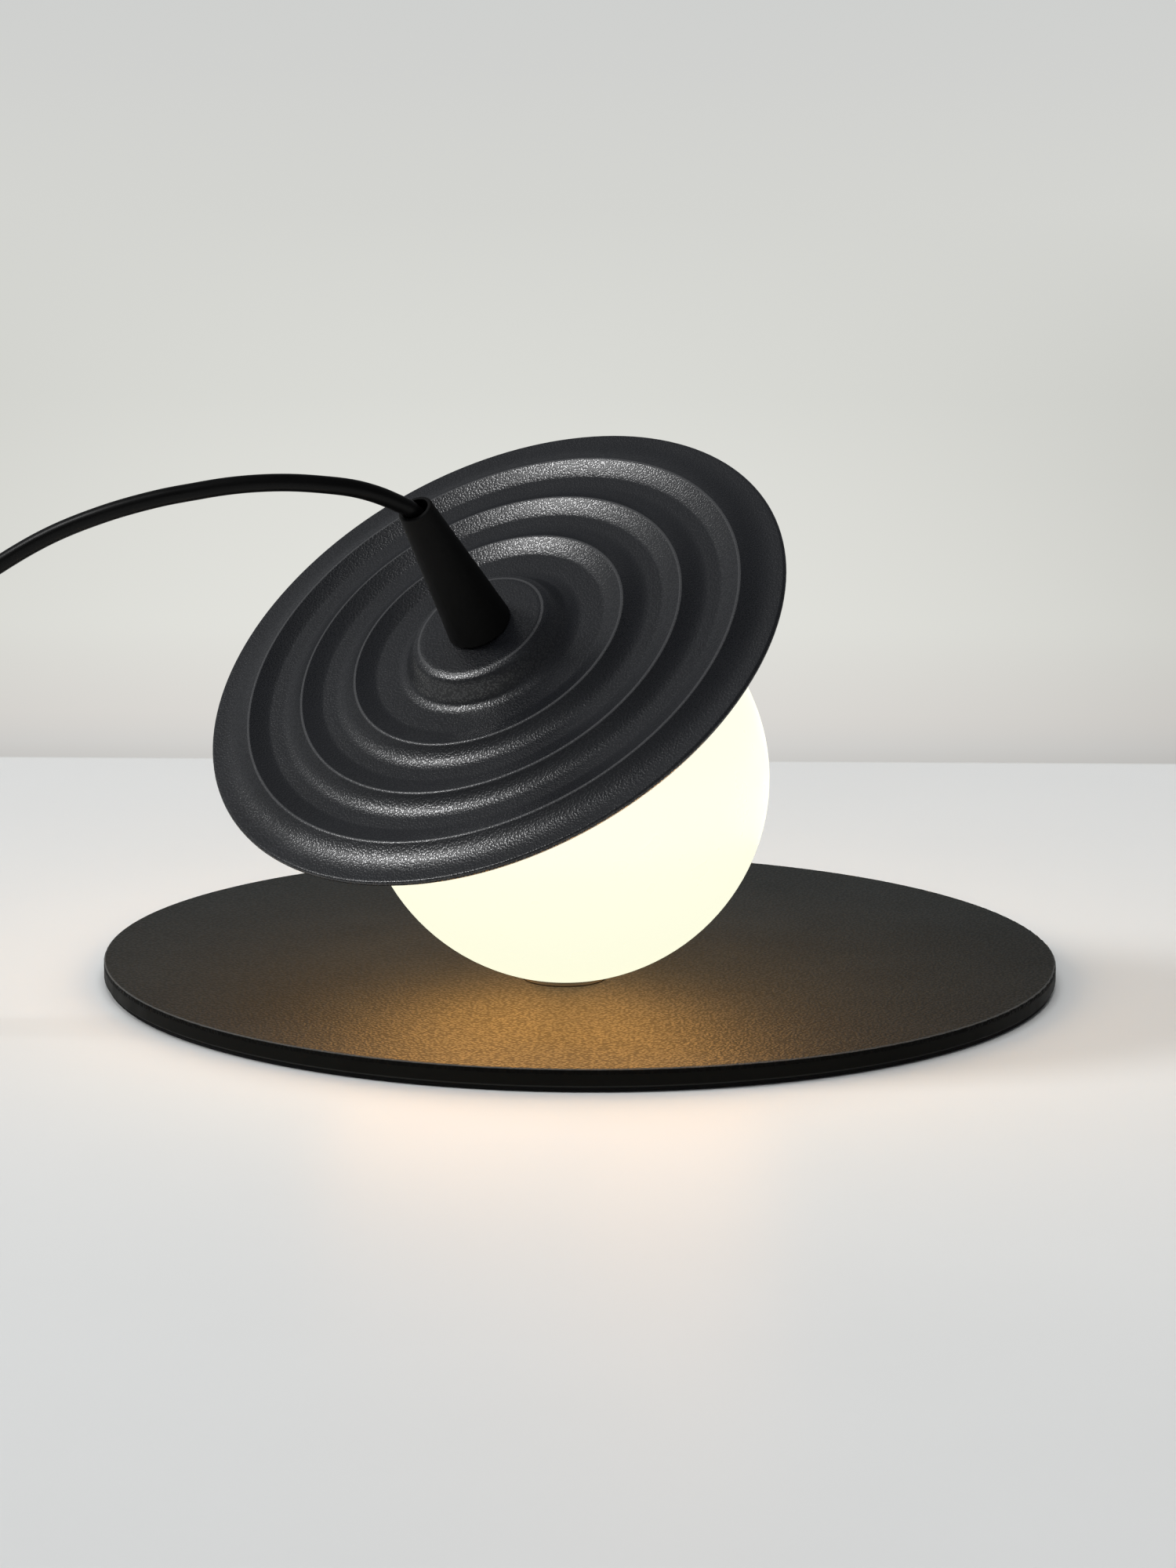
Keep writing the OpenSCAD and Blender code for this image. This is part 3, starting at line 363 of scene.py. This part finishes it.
def close_tree(tree, output, geometry, finish):
    """Ends a geometry tree: smooth, real geometry in its finish goes to the named output."""
    smooth = step(tree, "GeometryNodeSetShadeSmooth", {"Geometry": geometry})["Geometry"]
    real = step(tree, "GeometryNodeRealizeInstances", {"Geometry": smooth})["Geometry"]
    dressed = step(tree, "GeometryNodeSetMaterial", {"Geometry": real, "Material": finish})["Geometry"]
    step(tree, "NodeGroupOutput", {output: dressed})


def ripple_tree():
    """A geometry tree that lays a rippled leather disc from its named sizes."""
    tree, keys, given = open_tree(
        "rippled_hat", "Hat",
        ("Float", ["Hat radius", "Hole radius", "Boss radius", "Boss height", "Boss fall",
                   "First crest", "Crest pitch", "Crest height", "Crest drop", "Fall width",
                   "Rise width", "Rise height", "Band width", "Rim height", "Leather thickness",
                   "Crest softness", "Unevenness", "Seed"]),
        ("Int", ["Profile steps", "Turn steps"]),
        ("Vector", ["Seat", "Turn"]),
        ("Material", ["Finish"]),
    )
    rim_crowding = 1.35
    rise_power = 1.25
    fall_power = 2
    band_power = 2.4
    ledge_start = 0.26
    ledge_share = 0.48
    hand_scale = 34
    weld_reach = 0.002 * mm

    def sums(operation):
        """A function for one kind of sum in this tree."""
        return lambda *values: reckon(tree, operation, *values)

    plus, less, times, over = map(sums, ("ADD", "SUBTRACT", "MULTIPLY", "DIVIDE"))
    least, most, under = map(sums, ("MINIMUM", "MAXIMUM", "LESS_THAN"))

    def curve(base, power):
        """A power of what is above nothing."""
        return reckon(tree, "POWER", most(base, 0.0), power)

    # Which ring of the turn and which point of the profile a vertex is
    number = step(tree, "GeometryNodeInputIndex", {})[0]
    column = plus(given["Turn steps"], 1)
    along = reckon(tree, "FLOOR", over(plus(number, 0.5), column))
    round_step = less(number, times(along, column))
    loop = times(given["Profile steps"], 2)
    along = reckon(tree, "MODULO", along, loop)
    turning = less(given["Profile steps"], 0.5)
    away = less(reckon(tree, "ABSOLUTE", less(along, turning)), 0.5)
    out = less(1, over(away, less(given["Profile steps"], 1)))
    top_side = less(times(under(along, turning), 2), 1)
    reach = less(given["Hat radius"], given["Hole radius"])
    radius = plus(given["Hole radius"], times(reach, less(1, curve(less(1, out), rim_crowding))))

    # The ripple: the lowest of the boss with its ring, the other rings and the band, softly joined
    def crest(i):
        """The radius and the height of a crest, counted from the boss."""
        return (plus(given["First crest"], times(given["Crest pitch"], i)),
                less(given["Crest height"], times(given["Crest drop"], i)))

    def floor_under(b):
        """The height of the valley inside a crest."""
        return less(b[1], given["Rise height"])

    def rise_to(b):
        """The slow rise from the valley to a crest."""
        rising = curve(less(1, over(less(b[0], radius), given["Rise width"])), rise_power)
        return times(given["Rise height"], rising)

    def fall_from(a, down, width, power):
        """The fall outside a crest, down to a height."""
        return times(less(a[1], down), curve(less(1, over(less(radius, a[0]), width)), power))

    def ring(a, b):
        """One ring: the fall from a crest and the rise to the next."""
        low = floor_under(b)
        return plus(plus(low, fall_from(a, low, given["Fall width"], fall_power)), rise_to(b))

    def ease(x):
        """A smooth step from 0 to 1."""
        x = least(most(x, 0.0), 1.0)
        return times(times(x, x), less(3, times(x, 2)))

    boss_out = over(less(radius, given["Boss radius"]), given["Boss fall"])
    ledge_out = over(less(boss_out, ledge_start), ledge_share)
    boss_left = less(1, times(0.5, plus(ease(boss_out), ease(ledge_out))))
    boss_floor = floor_under(crest(0))
    boss = plus(boss_floor, times(less(given["Boss height"], boss_floor), boss_left))
    height = plus(boss, rise_to(crest(0)))
    band_fall = fall_from(crest(2), given["Rim height"], given["Band width"], band_power)
    band = plus(given["Rim height"], band_fall)
    for part in (ring(crest(0), crest(1)), ring(crest(1), crest(2)), band):
        height = reckon(tree, "SMOOTH_MIN", height, part, given["Crest softness"])

    # The sheet: as thick as the leather, round at the rim and a little uneven
    half = times(given["Leather thickness"], 0.5)
    edge = most(over(less(radius, less(given["Hat radius"], half)), half), 0.0)
    swell = times(half, reckon(tree, "SQRT", most(less(1, times(edge, edge)), 0.0)))
    turn = times(over(round_step, given["Turn steps"]), 2 * math.pi)
    x = times(radius, reckon(tree, "COSINE", turn))
    y = times(radius, reckon(tree, "SINE", turn))
    flat = step(tree, "ShaderNodeCombineXYZ", {0: x, 1: y, 2: given["Seed"]})[0]
    hand = step(tree, "ShaderNodeTexNoise", {"Vector": flat, "Scale": hand_scale, "Detail": 1.5})[0]
    wobble = times(less(hand, 0.5), given["Unevenness"])
    z = plus(plus(less(height, half), times(top_side, swell)), wobble)
    spot = step(tree, "ShaderNodeCombineXYZ", {0: x, 1: y, 2: z})[0]
    sheet = step(tree, "GeometryNodeMeshGrid", {"Vertices X": plus(loop, 1), "Vertices Y": column})["Mesh"]
    laid = step(tree, "GeometryNodeSetPosition", {"Geometry": sheet, "Position": spot})["Geometry"]
    closed = step(tree, "GeometryNodeMergeByDistance", {"Geometry": laid, "Distance": weld_reach})
    seated = step(tree, "GeometryNodeTransform", {
        "Geometry": closed["Geometry"], "Translation": given["Seat"], "Rotation": given["Turn"],
    })
    close_tree(tree, "Hat", seated["Geometry"], given["Finish"])
    return tree, keys


def grown(name, mesh, tree, keys, values):
    """A plain mesh object from a geometry tree: its inputs are set, it is evaluated and kept."""
    seedling = bpy.data.objects.new(name + "_rule", mesh)
    bpy.context.scene.collection.objects.link(seedling)
    rule = seedling.modifiers.new("rule", "NODES")
    rule.node_group = tree
    for key, value in values.items():
        rule[keys[key]] = value
    seen = seedling.evaluated_get(bpy.context.evaluated_depsgraph_get())
    piece = bpy.data.objects.new(name, bpy.data.meshes.new_from_object(seen))
    bpy.context.scene.collection.objects.link(piece)
    seedling.modifiers.remove(rule)
    bpy.data.objects.remove(seedling)
    return piece


crest_line_radii = [boss_edge] + [first_crest + i * crest_pitch for i in range(crest_count)]
hat_leather = leather_finish("hat_leather", (0.0102, 0.0110, 0.0132), grain=0.68 * mm, roughness=0.19,
                             depth=0.075 * mm, specular=0.88,
                             crests=(globe_middle, hat_axis, crest_line_radii, crest_line_half, crest_line_tone))
hat_tree, hat_keys = ripple_tree()
hat = grown("hat", bpy.data.meshes.new("hat_rule"), hat_tree, hat_keys, {
    "Hat radius": 93.2 * mm, "Hole radius": 5.1 * mm, "Boss radius": 18.5 * mm,
    "Boss height": 11.5 * mm, "Boss fall": 11.4 * mm, "First crest": first_crest,
    "Crest pitch": crest_pitch, "Crest height": 6.15 * mm, "Crest drop": 1.32 * mm,
    "Fall width": 7.7 * mm, "Rise width": 6.5 * mm, "Rise height": 1.95 * mm,
    "Band width": 10.5 * mm, "Rim height": 0.5 * mm, "Leather thickness": 1.7 * mm,
    "Crest softness": 0.7 * mm, "Unevenness": 0.12 * mm, "Seed": 0.4,
    "Profile steps": 300, "Turn steps": 160,
    "Seat": along_hat(rim_plane), "Turn": Vector((0, hat_tilt, hat_lean)), "Finish": hat_leather,
})
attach(hat, "head")
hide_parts("hat_leather")

# Cone
# A hollow cone, turned from matt black plastic, is screwed down on the stem over the hat. The
# cord leaves through its open mouth.
cone_mouth_up = 116.4
cone_mouth = along_hat(cone_mouth_up)
cone_matt = moulded_finish("cone_matt", (0.0018, 0.0018, 0.0018), roughness=0.6, grain=0.25 * mm,
                           depth=0.04 * mm, specular=0.16)
dress(cone_matt, "cone")

# Wires, lampholder and bulb
# Two blue cores run down the stem to a porcelain lampholder with brass contacts. The small pin
# bulb has a porcelain foot, a frosted cover and a light stick inside.
dress(moulded_finish("wire_cover", (0.03, 0.09, 0.32), roughness=0.4), "lead_wires")
porcelain = moulded_finish("porcelain", (0.7, 0.69, 0.64), roughness=0.25, grain=2 * mm, depth=0.02 * mm)
dress(porcelain, "lampholder", "bulb_foot")
bulb_frost = moulded_finish("bulb_frost", (0.8, 0.77, 0.68), roughness=0.5, grain=0.2 * mm,
                            depth=0.02 * mm)
dress(bulb_frost, "bulb_cover")
dress(moulded_finish("light_stick", (0.75, 0.5, 0.12), roughness=0.45), "bulb_led")

# Lead
# A round two-core cord in a black soft jacket. Its end is clamped inside the cone, it leans on
# one side of the cone's mouth, goes over in one arch and comes down to the switch on the table.
cord_thick = 5.2 * mm
cord_sides = 20
route_step = 2.5 * mm
switch_middle = Vector((-368, 52, 0)) * mm
switch_cord_up = Vector((0, 0, 8)) * mm
switch_half = 31
switch_relief_end = 51
switch_cord_end = 27.5
jacket_end_up = 87.4
lead_straight = 8
mouth_inside_up = 109.9
mouth_lean = 1.1
mouth_side = Vector((-0.9, 0, -0.42)) * mm


def along_switch(y):
    """The point on the cord's line through the switch, y millimetres from its middle."""
    return switch_middle + switch_cord_up + Vector((0, y, 0)) * mm


def smooth_route(points, spacing):
    """Points about a spacing apart on a curve that passes smoothly through a route."""
    found = []
    for i in range(len(points) - 1):
        a, b = points[max(i - 1, 0)], points[i]
        c, d = points[i + 1], points[min(i + 2, len(points) - 1)]
        parts = max(1, math.ceil((c - b).length / spacing))
        for j in range(parts):
            t = j / parts
            found.append(0.5 * (2 * b + (c - a) * t + (2 * a - 5 * b + 4 * c - d) * t * t
                                + (3 * b - a - 3 * c + d) * t * t * t))
    return found + [points[-1]]


lead_in_cone = [
    along_hat(jacket_end_up), along_hat(jacket_end_up + lead_straight),
    along_hat(jacket_end_up + 2 * lead_straight) - mouth_lean / 2 * mouth_side,
    along_hat(mouth_inside_up), cone_mouth + mouth_lean * mouth_side,
]
lead_arch = [
    (-54.5, -95.4, 163.1), (-60, -98.5, 165.8), (-67, -101.3, 168), (-76, -103.5, 169.3),
    (-85, -104.5, 169.9), (-94, -105, 169.7), (-103, -105, 168.8), (-112, -104.5, 167.2),
    (-124, -103, 164.6), (-139, -101, 160), (-155, -98, 153.2), (-170.5, -95, 144),
    (-188, -92, 131.5), (-204, -89.5, 117), (-219, -87, 100), (-233, -85, 81),
    (-247, -83, 61.5), (-261, -81, 42.5), (-276, -78, 26), (-293, -74, 12.5),
    (-311, -68.5, 4.8), (-328, -60, 2.8), (-343, -49, 2.8), (-354, -36, 3.2),
    (-362, -21, 4.8), (-367, -7, 7.2),
]
lead_into_switch = [
    along_switch(-switch_relief_end), along_switch(-switch_half), along_switch(-switch_cord_end),
]
lead_route = smooth_route(
    lead_in_cone + [Vector(p) * mm for p in lead_arch] + lead_into_switch, route_step
)
cord_finish = moulded_finish("cord_jacket", (0.002, 0.002, 0.002), roughness=0.36, grain=1.4 * mm,
                             depth=0.05 * mm, specular=0.14)


def jacket_tree():
    """A geometry tree that draws a round jacket along a route."""
    tree, keys, given = open_tree(
        "cord_jacket", "Jacket",
        ("Geometry", ["Route"]), ("Float", ["Diameter"]), ("Int", ["Sides"]), ("Material", ["Finish"]),
    )
    line = step(tree, "GeometryNodeMeshToCurve", {"Mesh": given["Route"]})["Curve"]
    ring = step(tree, "GeometryNodeCurvePrimitiveCircle", {
        "Radius": reckon(tree, "MULTIPLY", given["Diameter"], 0.5), "Resolution": given["Sides"],
    })["Curve"]
    jacket = step(tree, "GeometryNodeCurveToMesh", {
        "Curve": line, "Profile Curve": ring, "Fill Caps": True,
    })["Mesh"]
    close_tree(tree, "Jacket", jacket, given["Finish"])
    return tree, keys


cord_jacket, cord_keys = jacket_tree()


def cord_along(name, route):
    """A cord of this lamp along a route."""
    line = bpy.data.meshes.new(name + "_route")
    line.from_pydata(route, [(i, i + 1) for i in range(len(route) - 1)], [])
    return grown(name, line, cord_jacket, cord_keys,
                 {"Diameter": cord_thick, "Sides": cord_sides, "Finish": cord_finish})


lead = cord_along("lead", lead_route)
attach(lead, "head")
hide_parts("cord_lead")

# Switch on the cord
# Two moulded black shells are screwed together from below round the cord, with a tapered relief
# at each end and a rocker that turns on a pin.
switch_shell = moulded_finish("switch_shell", (0.009, 0.009, 0.0092), roughness=0.46, grain=0.35 * mm,
                              depth=0.03 * mm)
dress(switch_shell, "switch_base", "switch_cover")
soft_relief = moulded_finish("soft_relief", (0.007, 0.007, 0.007), roughness=0.6, grain=0.3 * mm,
                             depth=0.03 * mm, specular=0.4)
dress(soft_relief, "switch_reliefs")
rocker_gloss = moulded_finish("rocker_gloss", (0.012, 0.012, 0.0122), roughness=0.3, grain=1.5 * mm,
                              depth=0.02 * mm)
dress(rocker_gloss, "rocker")

# Supply cord
# The same cord from the switch to the plug. All the length that is not needed is wound into a
# flat tied coil that winds in on the table, climbs a layer in half a turn and winds out on top.
coil_middle = Vector((-262, 100.5, 0)) * mm
coil_radius = 38.5 * mm
coil_pitch = 5.8 * mm
coil_low = 3.5 * mm
coil_in = 810
coil_back = 990
coil_all = 1890
coil_turn_step = 5
coil_inner = coil_radius - coil_pitch * coil_in / 360
plug_middle_up = 6.8 * mm
plug_from_coil = 30 * mm
cord_in_plug = Vector((0, 16 * mm, 0))


def coil_point(a):
    """The middle of the cord in the coil after it has wound through a degrees."""
    climb = min(1, max(0, (a - coil_in) / (coil_back - coil_in)))
    if a < coil_in:
        radius = coil_radius - coil_pitch * a / 360
    elif a < coil_back:
        radius = coil_inner - coil_pitch * (climb - climb * climb) / 2
    else:
        radius = coil_inner + coil_pitch * (a - coil_back) / 360
    turn = math.radians(90 - a)
    up = coil_low + coil_pitch * climb * climb * (3 - 2 * climb)
    return coil_middle + Vector((radius * math.cos(turn), radius * math.sin(turn), up))


link_bend = [
    (-367, 113, 7.2), (-361, 126, 5), (-350, 135, 3.8), (-335, 139, 3.6), (-318, 139, 3.6),
    (-300, 139, 3.6), (-284, 139, 3.6),
]
coil_start = coil_point(0)
coil_end = coil_point(coil_all)
into_coil = Vector((cord_thick, 0, 0))
out_of_coil = Vector((0, cord_thick, 0))
plug_mouth = Vector((coil_end.x, coil_end.y - plug_from_coil, plug_middle_up))
tail_start = coil_end - out_of_coil
supply_route = (
    smooth_route(
        [along_switch(switch_cord_end), along_switch(switch_half), along_switch(switch_relief_end)]
        + [Vector(p) * mm for p in link_bend]
        + [coil_start - 3 * into_coil, coil_start - into_coil],
        route_step,
    )
    + [coil_point(a) for a in range(0, coil_all + 1, coil_turn_step)]
    + smooth_route(
        [tail_start, tail_start - out_of_coil, (tail_start + plug_mouth) / 2,
         plug_mouth + out_of_coil, plug_mouth, plug_mouth - cord_in_plug],
        route_step,
    )
)
supply = cord_along("supply_cord", supply_route)
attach(supply, "head")
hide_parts("cord_link", "cord_coil", "cord_tail")

# Coil tie
# A strap of woven black tape goes once round all the turns and is pressed shut. Its corners are
# round because the turns inside hold it out.
tie_thick = 0.8 * mm
tie_wide = 9 * mm
tie_low, tie_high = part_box("coil_tie")
tie_corner = 3.0 * mm
tie_corner_steps = 8
tie_edge = 0.2 * mm
tie_middle_y = (tie_low.y + tie_high.y) / 2


def tie_loop(inset, corner):
    """A round-cornered loop in the tie's upright plane, inset from its outer box."""
    x0, x1 = tie_low.x + inset, tie_high.x - inset
    z0, z1 = tie_low.z + inset, tie_high.z - inset
    loop = []
    for cx, cz, first in ((x1 - corner, z1 - corner, 0), (x0 + corner, z1 - corner, 90),
                          (x0 + corner, z0 + corner, 180), (x1 - corner, z0 + corner, 270)):
        for part in range(tie_corner_steps + 1):
            turn = math.radians(first + part * 90 / tie_corner_steps)
            loop.append((cx + corner * math.cos(turn), cz + corner * math.sin(turn)))
    return loop


tie_side = tie_wide / 2
tie_section = [
    (0, -tie_side + tie_edge), (0, tie_side - tie_edge),
    (tie_edge, tie_side), (tie_thick - tie_edge, tie_side),
    (tie_thick, tie_side - tie_edge), (tie_thick, -tie_side + tie_edge),
    (tie_thick - tie_edge, -tie_side), (tie_edge, -tie_side),
]
tie_rings = [
    [(x, tie_middle_y + y, z) for x, z in tie_loop(inset, tie_corner - inset)]
    for inset, y in tie_section
]
tie_count = len(tie_rings[0])
tie_faces = []
for i in range(len(tie_rings)):
    for j in range(tie_count):
        k, m = (i + 1) % len(tie_rings), (j + 1) % tie_count
        tie_faces.append((i * tie_count + j, i * tie_count + m, k * tie_count + m, k * tie_count + j))
tie_mesh = bpy.data.meshes.new("coil_tie")
tie_mesh.from_pydata([p for ring in tie_rings for p in ring], [], tie_faces)
tie_mesh.shade_smooth()
tie_mesh.set_sharp_from_angle(angle=math.radians(50))
tape_finish, tape_tree, tape_place = new_finish("woven_tape")
tape_weave = step(tape_tree, "ShaderNodeTexVoronoi", {
    "Vector": tape_place, "Scale": 1 / (0.7 * mm), "Randomness": 0.35,
})["Distance"]
lay_skin(tape_tree, {
    "Base Color": two_tone(tape_tree, tape_weave, (0.02, 0.02, 0.021), (0.006, 0.006, 0.006)),
    "Roughness": 0.85,
    "Sheen Weight": 0.2,
    "Normal": raised(tape_tree, tape_weave, 0.6, 0.15 * mm),
})
tie_mesh.materials.append(tape_finish)
tie = bpy.data.objects.new("tie_strap", tie_mesh)
bpy.context.scene.collection.objects.link(tie)
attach(tie, "head")
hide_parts("coil_tie")

# Plug
# One flat moulding of black rubber closes round the end of the supply cord, with a ribbed relief
# for it. Two nickelled pins in sleeves are moulded in.
plug_black = moulded_finish("plug_black", (0.008, 0.008, 0.008), roughness=0.5, grain=0.35 * mm,
                            depth=0.03 * mm)
dress(plug_black, "plug_body")
dress(metal_finish("nickelled_pin", (0.62, 0.6, 0.56), roughness=0.22, lathe=(6, 1, 1)), "plug_pins")

# Floor and backdrop
# A pale satin table with a soft painted shadow line where it ends and a pale wall begins. Painted
# shade darkens the wall to the right, and far off the table fades to the wall's tone on every side.
table_end = 0.36
table_far = (0.7, 1.7)
sheen_share = 0.024
wall_far = 9.0
floor_half = 14
floor_low = -0.3 * mm
floor_corners = [
    (x * floor_half, y * floor_half, floor_low) for x, y in ((-1, -1), (1, -1), (1, 1), (-1, 1))
]
floor_mesh = bpy.data.meshes.new("floor")
floor_mesh.from_pydata(floor_corners, [], [(0, 1, 2, 3)])
floor = bpy.data.objects.new("floor", floor_mesh)
bpy.context.scene.collection.objects.link(floor)
floor_finish, floor_tree, floor_place = new_finish("pale_table")
floor_axes = step(floor_tree, "ShaderNodeSeparateXYZ", {0: floor_place})
floor_x, floor_y = floor_axes["X"], floor_axes["Y"]
table_cloud = mottle(floor_tree, floor_place, 0.12)
table_colour = two_tone(floor_tree, table_cloud, (0.755, 0.765, 0.76), (0.785, 0.795, 0.79))
table_matt = step(floor_tree, "ShaderNodeBsdfDiffuse", {"Color": table_colour})["BSDF"]
table_sheen = step(floor_tree, "ShaderNodeBsdfAnisotropic", {"Roughness": 0.36})["BSDF"]
table_coats = {0: sheen_share, 1: table_matt, 2: table_sheen}
table_skin = step(floor_tree, "ShaderNodeMixShader", table_coats)["Shader"]

# How the wall's tone runs, from the table's end upwards: a painted shadow at the joint, painted light just
# above it, dimmer higher up
wall_tone_and_shade = floor_tree.nodes.new("ShaderNodeValToRGB")
feed(floor_tree, wall_tone_and_shade.inputs["Fac"], spread(floor_tree, floor_y, table_end, wall_far, 0.0, 1.0))
wall_tone_and_shade_stops = wall_tone_and_shade.color_ramp.elements
# The dark first stop is a painted shadow where the wall meets the table.
for place, grey in ((0.0, (0.58, 0.57, 0.55)), (0.004, (0.63, 0.62, 0.6)), (0.01, (0.68, 0.66, 0.63)),
                    (0.037, (0.73, 0.73, 0.69)), (0.14, (0.67, 0.675, 0.64)), (0.57, (0.635, 0.64, 0.625)),
                    (1.0, (0.62, 0.63, 0.62))):
    stop = wall_tone_and_shade_stops[0] if place == 0 else wall_tone_and_shade_stops[-1] if place == 1 else wall_tone_and_shade_stops.new(place)
    stop.color = (*grey, 1)

# How it darkens to the right, low on the wall: a fan of light that spreads with the distance
fan_back = 1.56
fan_reach = 0.12
fan_middle = -0.022
fan_bright = 0.055
fan_fall = -9.0
fan_far = (1.2, 3.0)
wall_share = spread(floor_tree, floor_y, table_end - 2 * mm, table_end + 2 * mm, 0.0, 1.0)
fan_side = reckon(floor_tree, "DIVIDE", floor_x, reckon(floor_tree, "ADD", floor_y, fan_back))
fan_off = spread(floor_tree, fan_side, -fan_reach, fan_reach,
                 -fan_reach - fan_middle, fan_reach - fan_middle)
fan_square = reckon(floor_tree, "MULTIPLY", fan_off, fan_off)
fan_tone = reckon(floor_tree, "MULTIPLY_ADD", fan_square, fan_fall, fan_bright)
fan_low = reckon(floor_tree, "MULTIPLY", wall_share, spread(floor_tree, floor_y, *fan_far, 1.0, 0.0))
wall_glow = step(floor_tree, "ShaderNodeEmission", {
    "Color": wall_tone_and_shade.outputs["Color"],
    "Strength": reckon(floor_tree, "MULTIPLY_ADD", fan_tone, fan_low, 1.0),
})["Emission"]

# Which rays see the wall in place of the table
rays = step(floor_tree, "ShaderNodeLightPath", {})
looking = rays["Is Camera Ray"]
for kind in ("Is Glossy Ray", "Is Transmission Ray"):
    looking = reckon(floor_tree, "MAXIMUM", looking, rays[kind])
floor_away = reckon(floor_tree, "LENGTH", floor_place, kind=vector_sum, output="Value")
far_share = spread(floor_tree, floor_away, *table_far, 0.0, 1.0)
wall_or_far = reckon(floor_tree, "MAXIMUM", wall_share, far_share)
wall_seen = reckon(floor_tree, "MULTIPLY", looking, wall_or_far)
floor_mix = step(floor_tree, "ShaderNodeMixShader", {0: wall_seen, 1: table_skin, 2: wall_glow})["Shader"]
step(floor_tree, "ShaderNodeOutputMaterial", {"Surface": floor_mix})
floor_mesh.materials.append(floor_finish)


# Lights
# A large soft box high on the left and a wide one overhead light the lamp in a pale room that is
# darker above, to the right and at four spots. Two lamps stand for the light out of the globe.
def soft_box(name, place, target, size, power):
    """A square lamp that faces a point."""
    light = bpy.data.lights.new(name, "AREA")
    light.shape = "SQUARE"
    light.size = size
    light.energy = power
    lamp = bpy.data.objects.new(name, light)
    facing = (Vector(place) - Vector(target)).to_track_quat("Z", "Y").to_matrix().to_4x4()
    lamp.matrix_world = Matrix.Translation(place) @ facing
    bpy.context.scene.collection.objects.link(lamp)
    return lamp


soft_box("key", place=(-2.94, -0.435, 2.8), target=(-0.03, -0.06, 0.1), size=0.9, power=61)
fill = soft_box("fill", place=(0.1, 0.1, 2.2), target=(0.05, 0.05, 0), size=2.0, power=32)
fill.visible_glossy = False
glow_place = globe_middle + Vector((-5, 0, -5)) * mm
for name, power, radius, colour in (("globe_shine", 2.0, 76 * mm, (1.0, 0.47, 0.1)),
                                    ("globe_light", 0.42, 62 * mm, (1.0, 0.46, 0.12))):
    glow = bpy.data.lights.new(name, "POINT")
    glow.energy = power
    glow.color = colour
    glow.shadow_soft_size = radius
    glow_lamp = bpy.data.objects.new(name, glow)
    glow_lamp.location = glow_place
    glow_lamp.visible_diffuse = name == "globe_light"
    glow_lamp.visible_glossy = name == "globe_shine"
    bpy.context.scene.collection.objects.link(glow_lamp)
for name in ("bulb_cover", "bulb_led", "bulb_foot", "lampholder", "foot_washer", "foot_nut", "pivot_screw"):
    frame["nodes"][name].visible_shadow = False
room = bpy.data.worlds.new("pale_room")
room.use_nodes = True
room_tree = room.node_tree
room_way = step(room_tree, "ShaderNodeTexCoord", {})["Generated"]
room_axes = step(room_tree, "ShaderNodeSeparateXYZ", {0: room_way})
room_above = spread(room_tree, room_axes["Z"], 0.7, 0.96, 0.35, 0.03)
room_right = spread(room_tree, room_axes["X"], -0.35, 0.4, 1.0, 0.36)
room_light = reckon(room_tree, "MULTIPLY", room_above, room_right)
for spot, shade in (((-0.82, -0.52, 0.2), 0.35), ((-0.3, -0.85, 0.4), 0.4), ((-0.76, 0.63, 0.18), 0.7),
                    ((-0.2, 0.73, 0.65), 0.55)):
    towards = Vector(spot).normalized()
    facing = reckon(room_tree, "DOT_PRODUCT", room_way, towards, kind=vector_sum, output="Value")
    spot_light = spread(room_tree, facing, 0.87, 0.985, 1.0, shade)
    room_light = reckon(room_tree, "MULTIPLY", room_light, spot_light)
background = room_tree.nodes["Background"]
feed(room_tree, background.inputs["Color"], (0.95, 0.97, 1.0, 1))
feed(room_tree, background.inputs["Strength"], room_light)
bpy.context.scene.world = room
bpy.context.scene.view_settings.view_transform = "Standard"
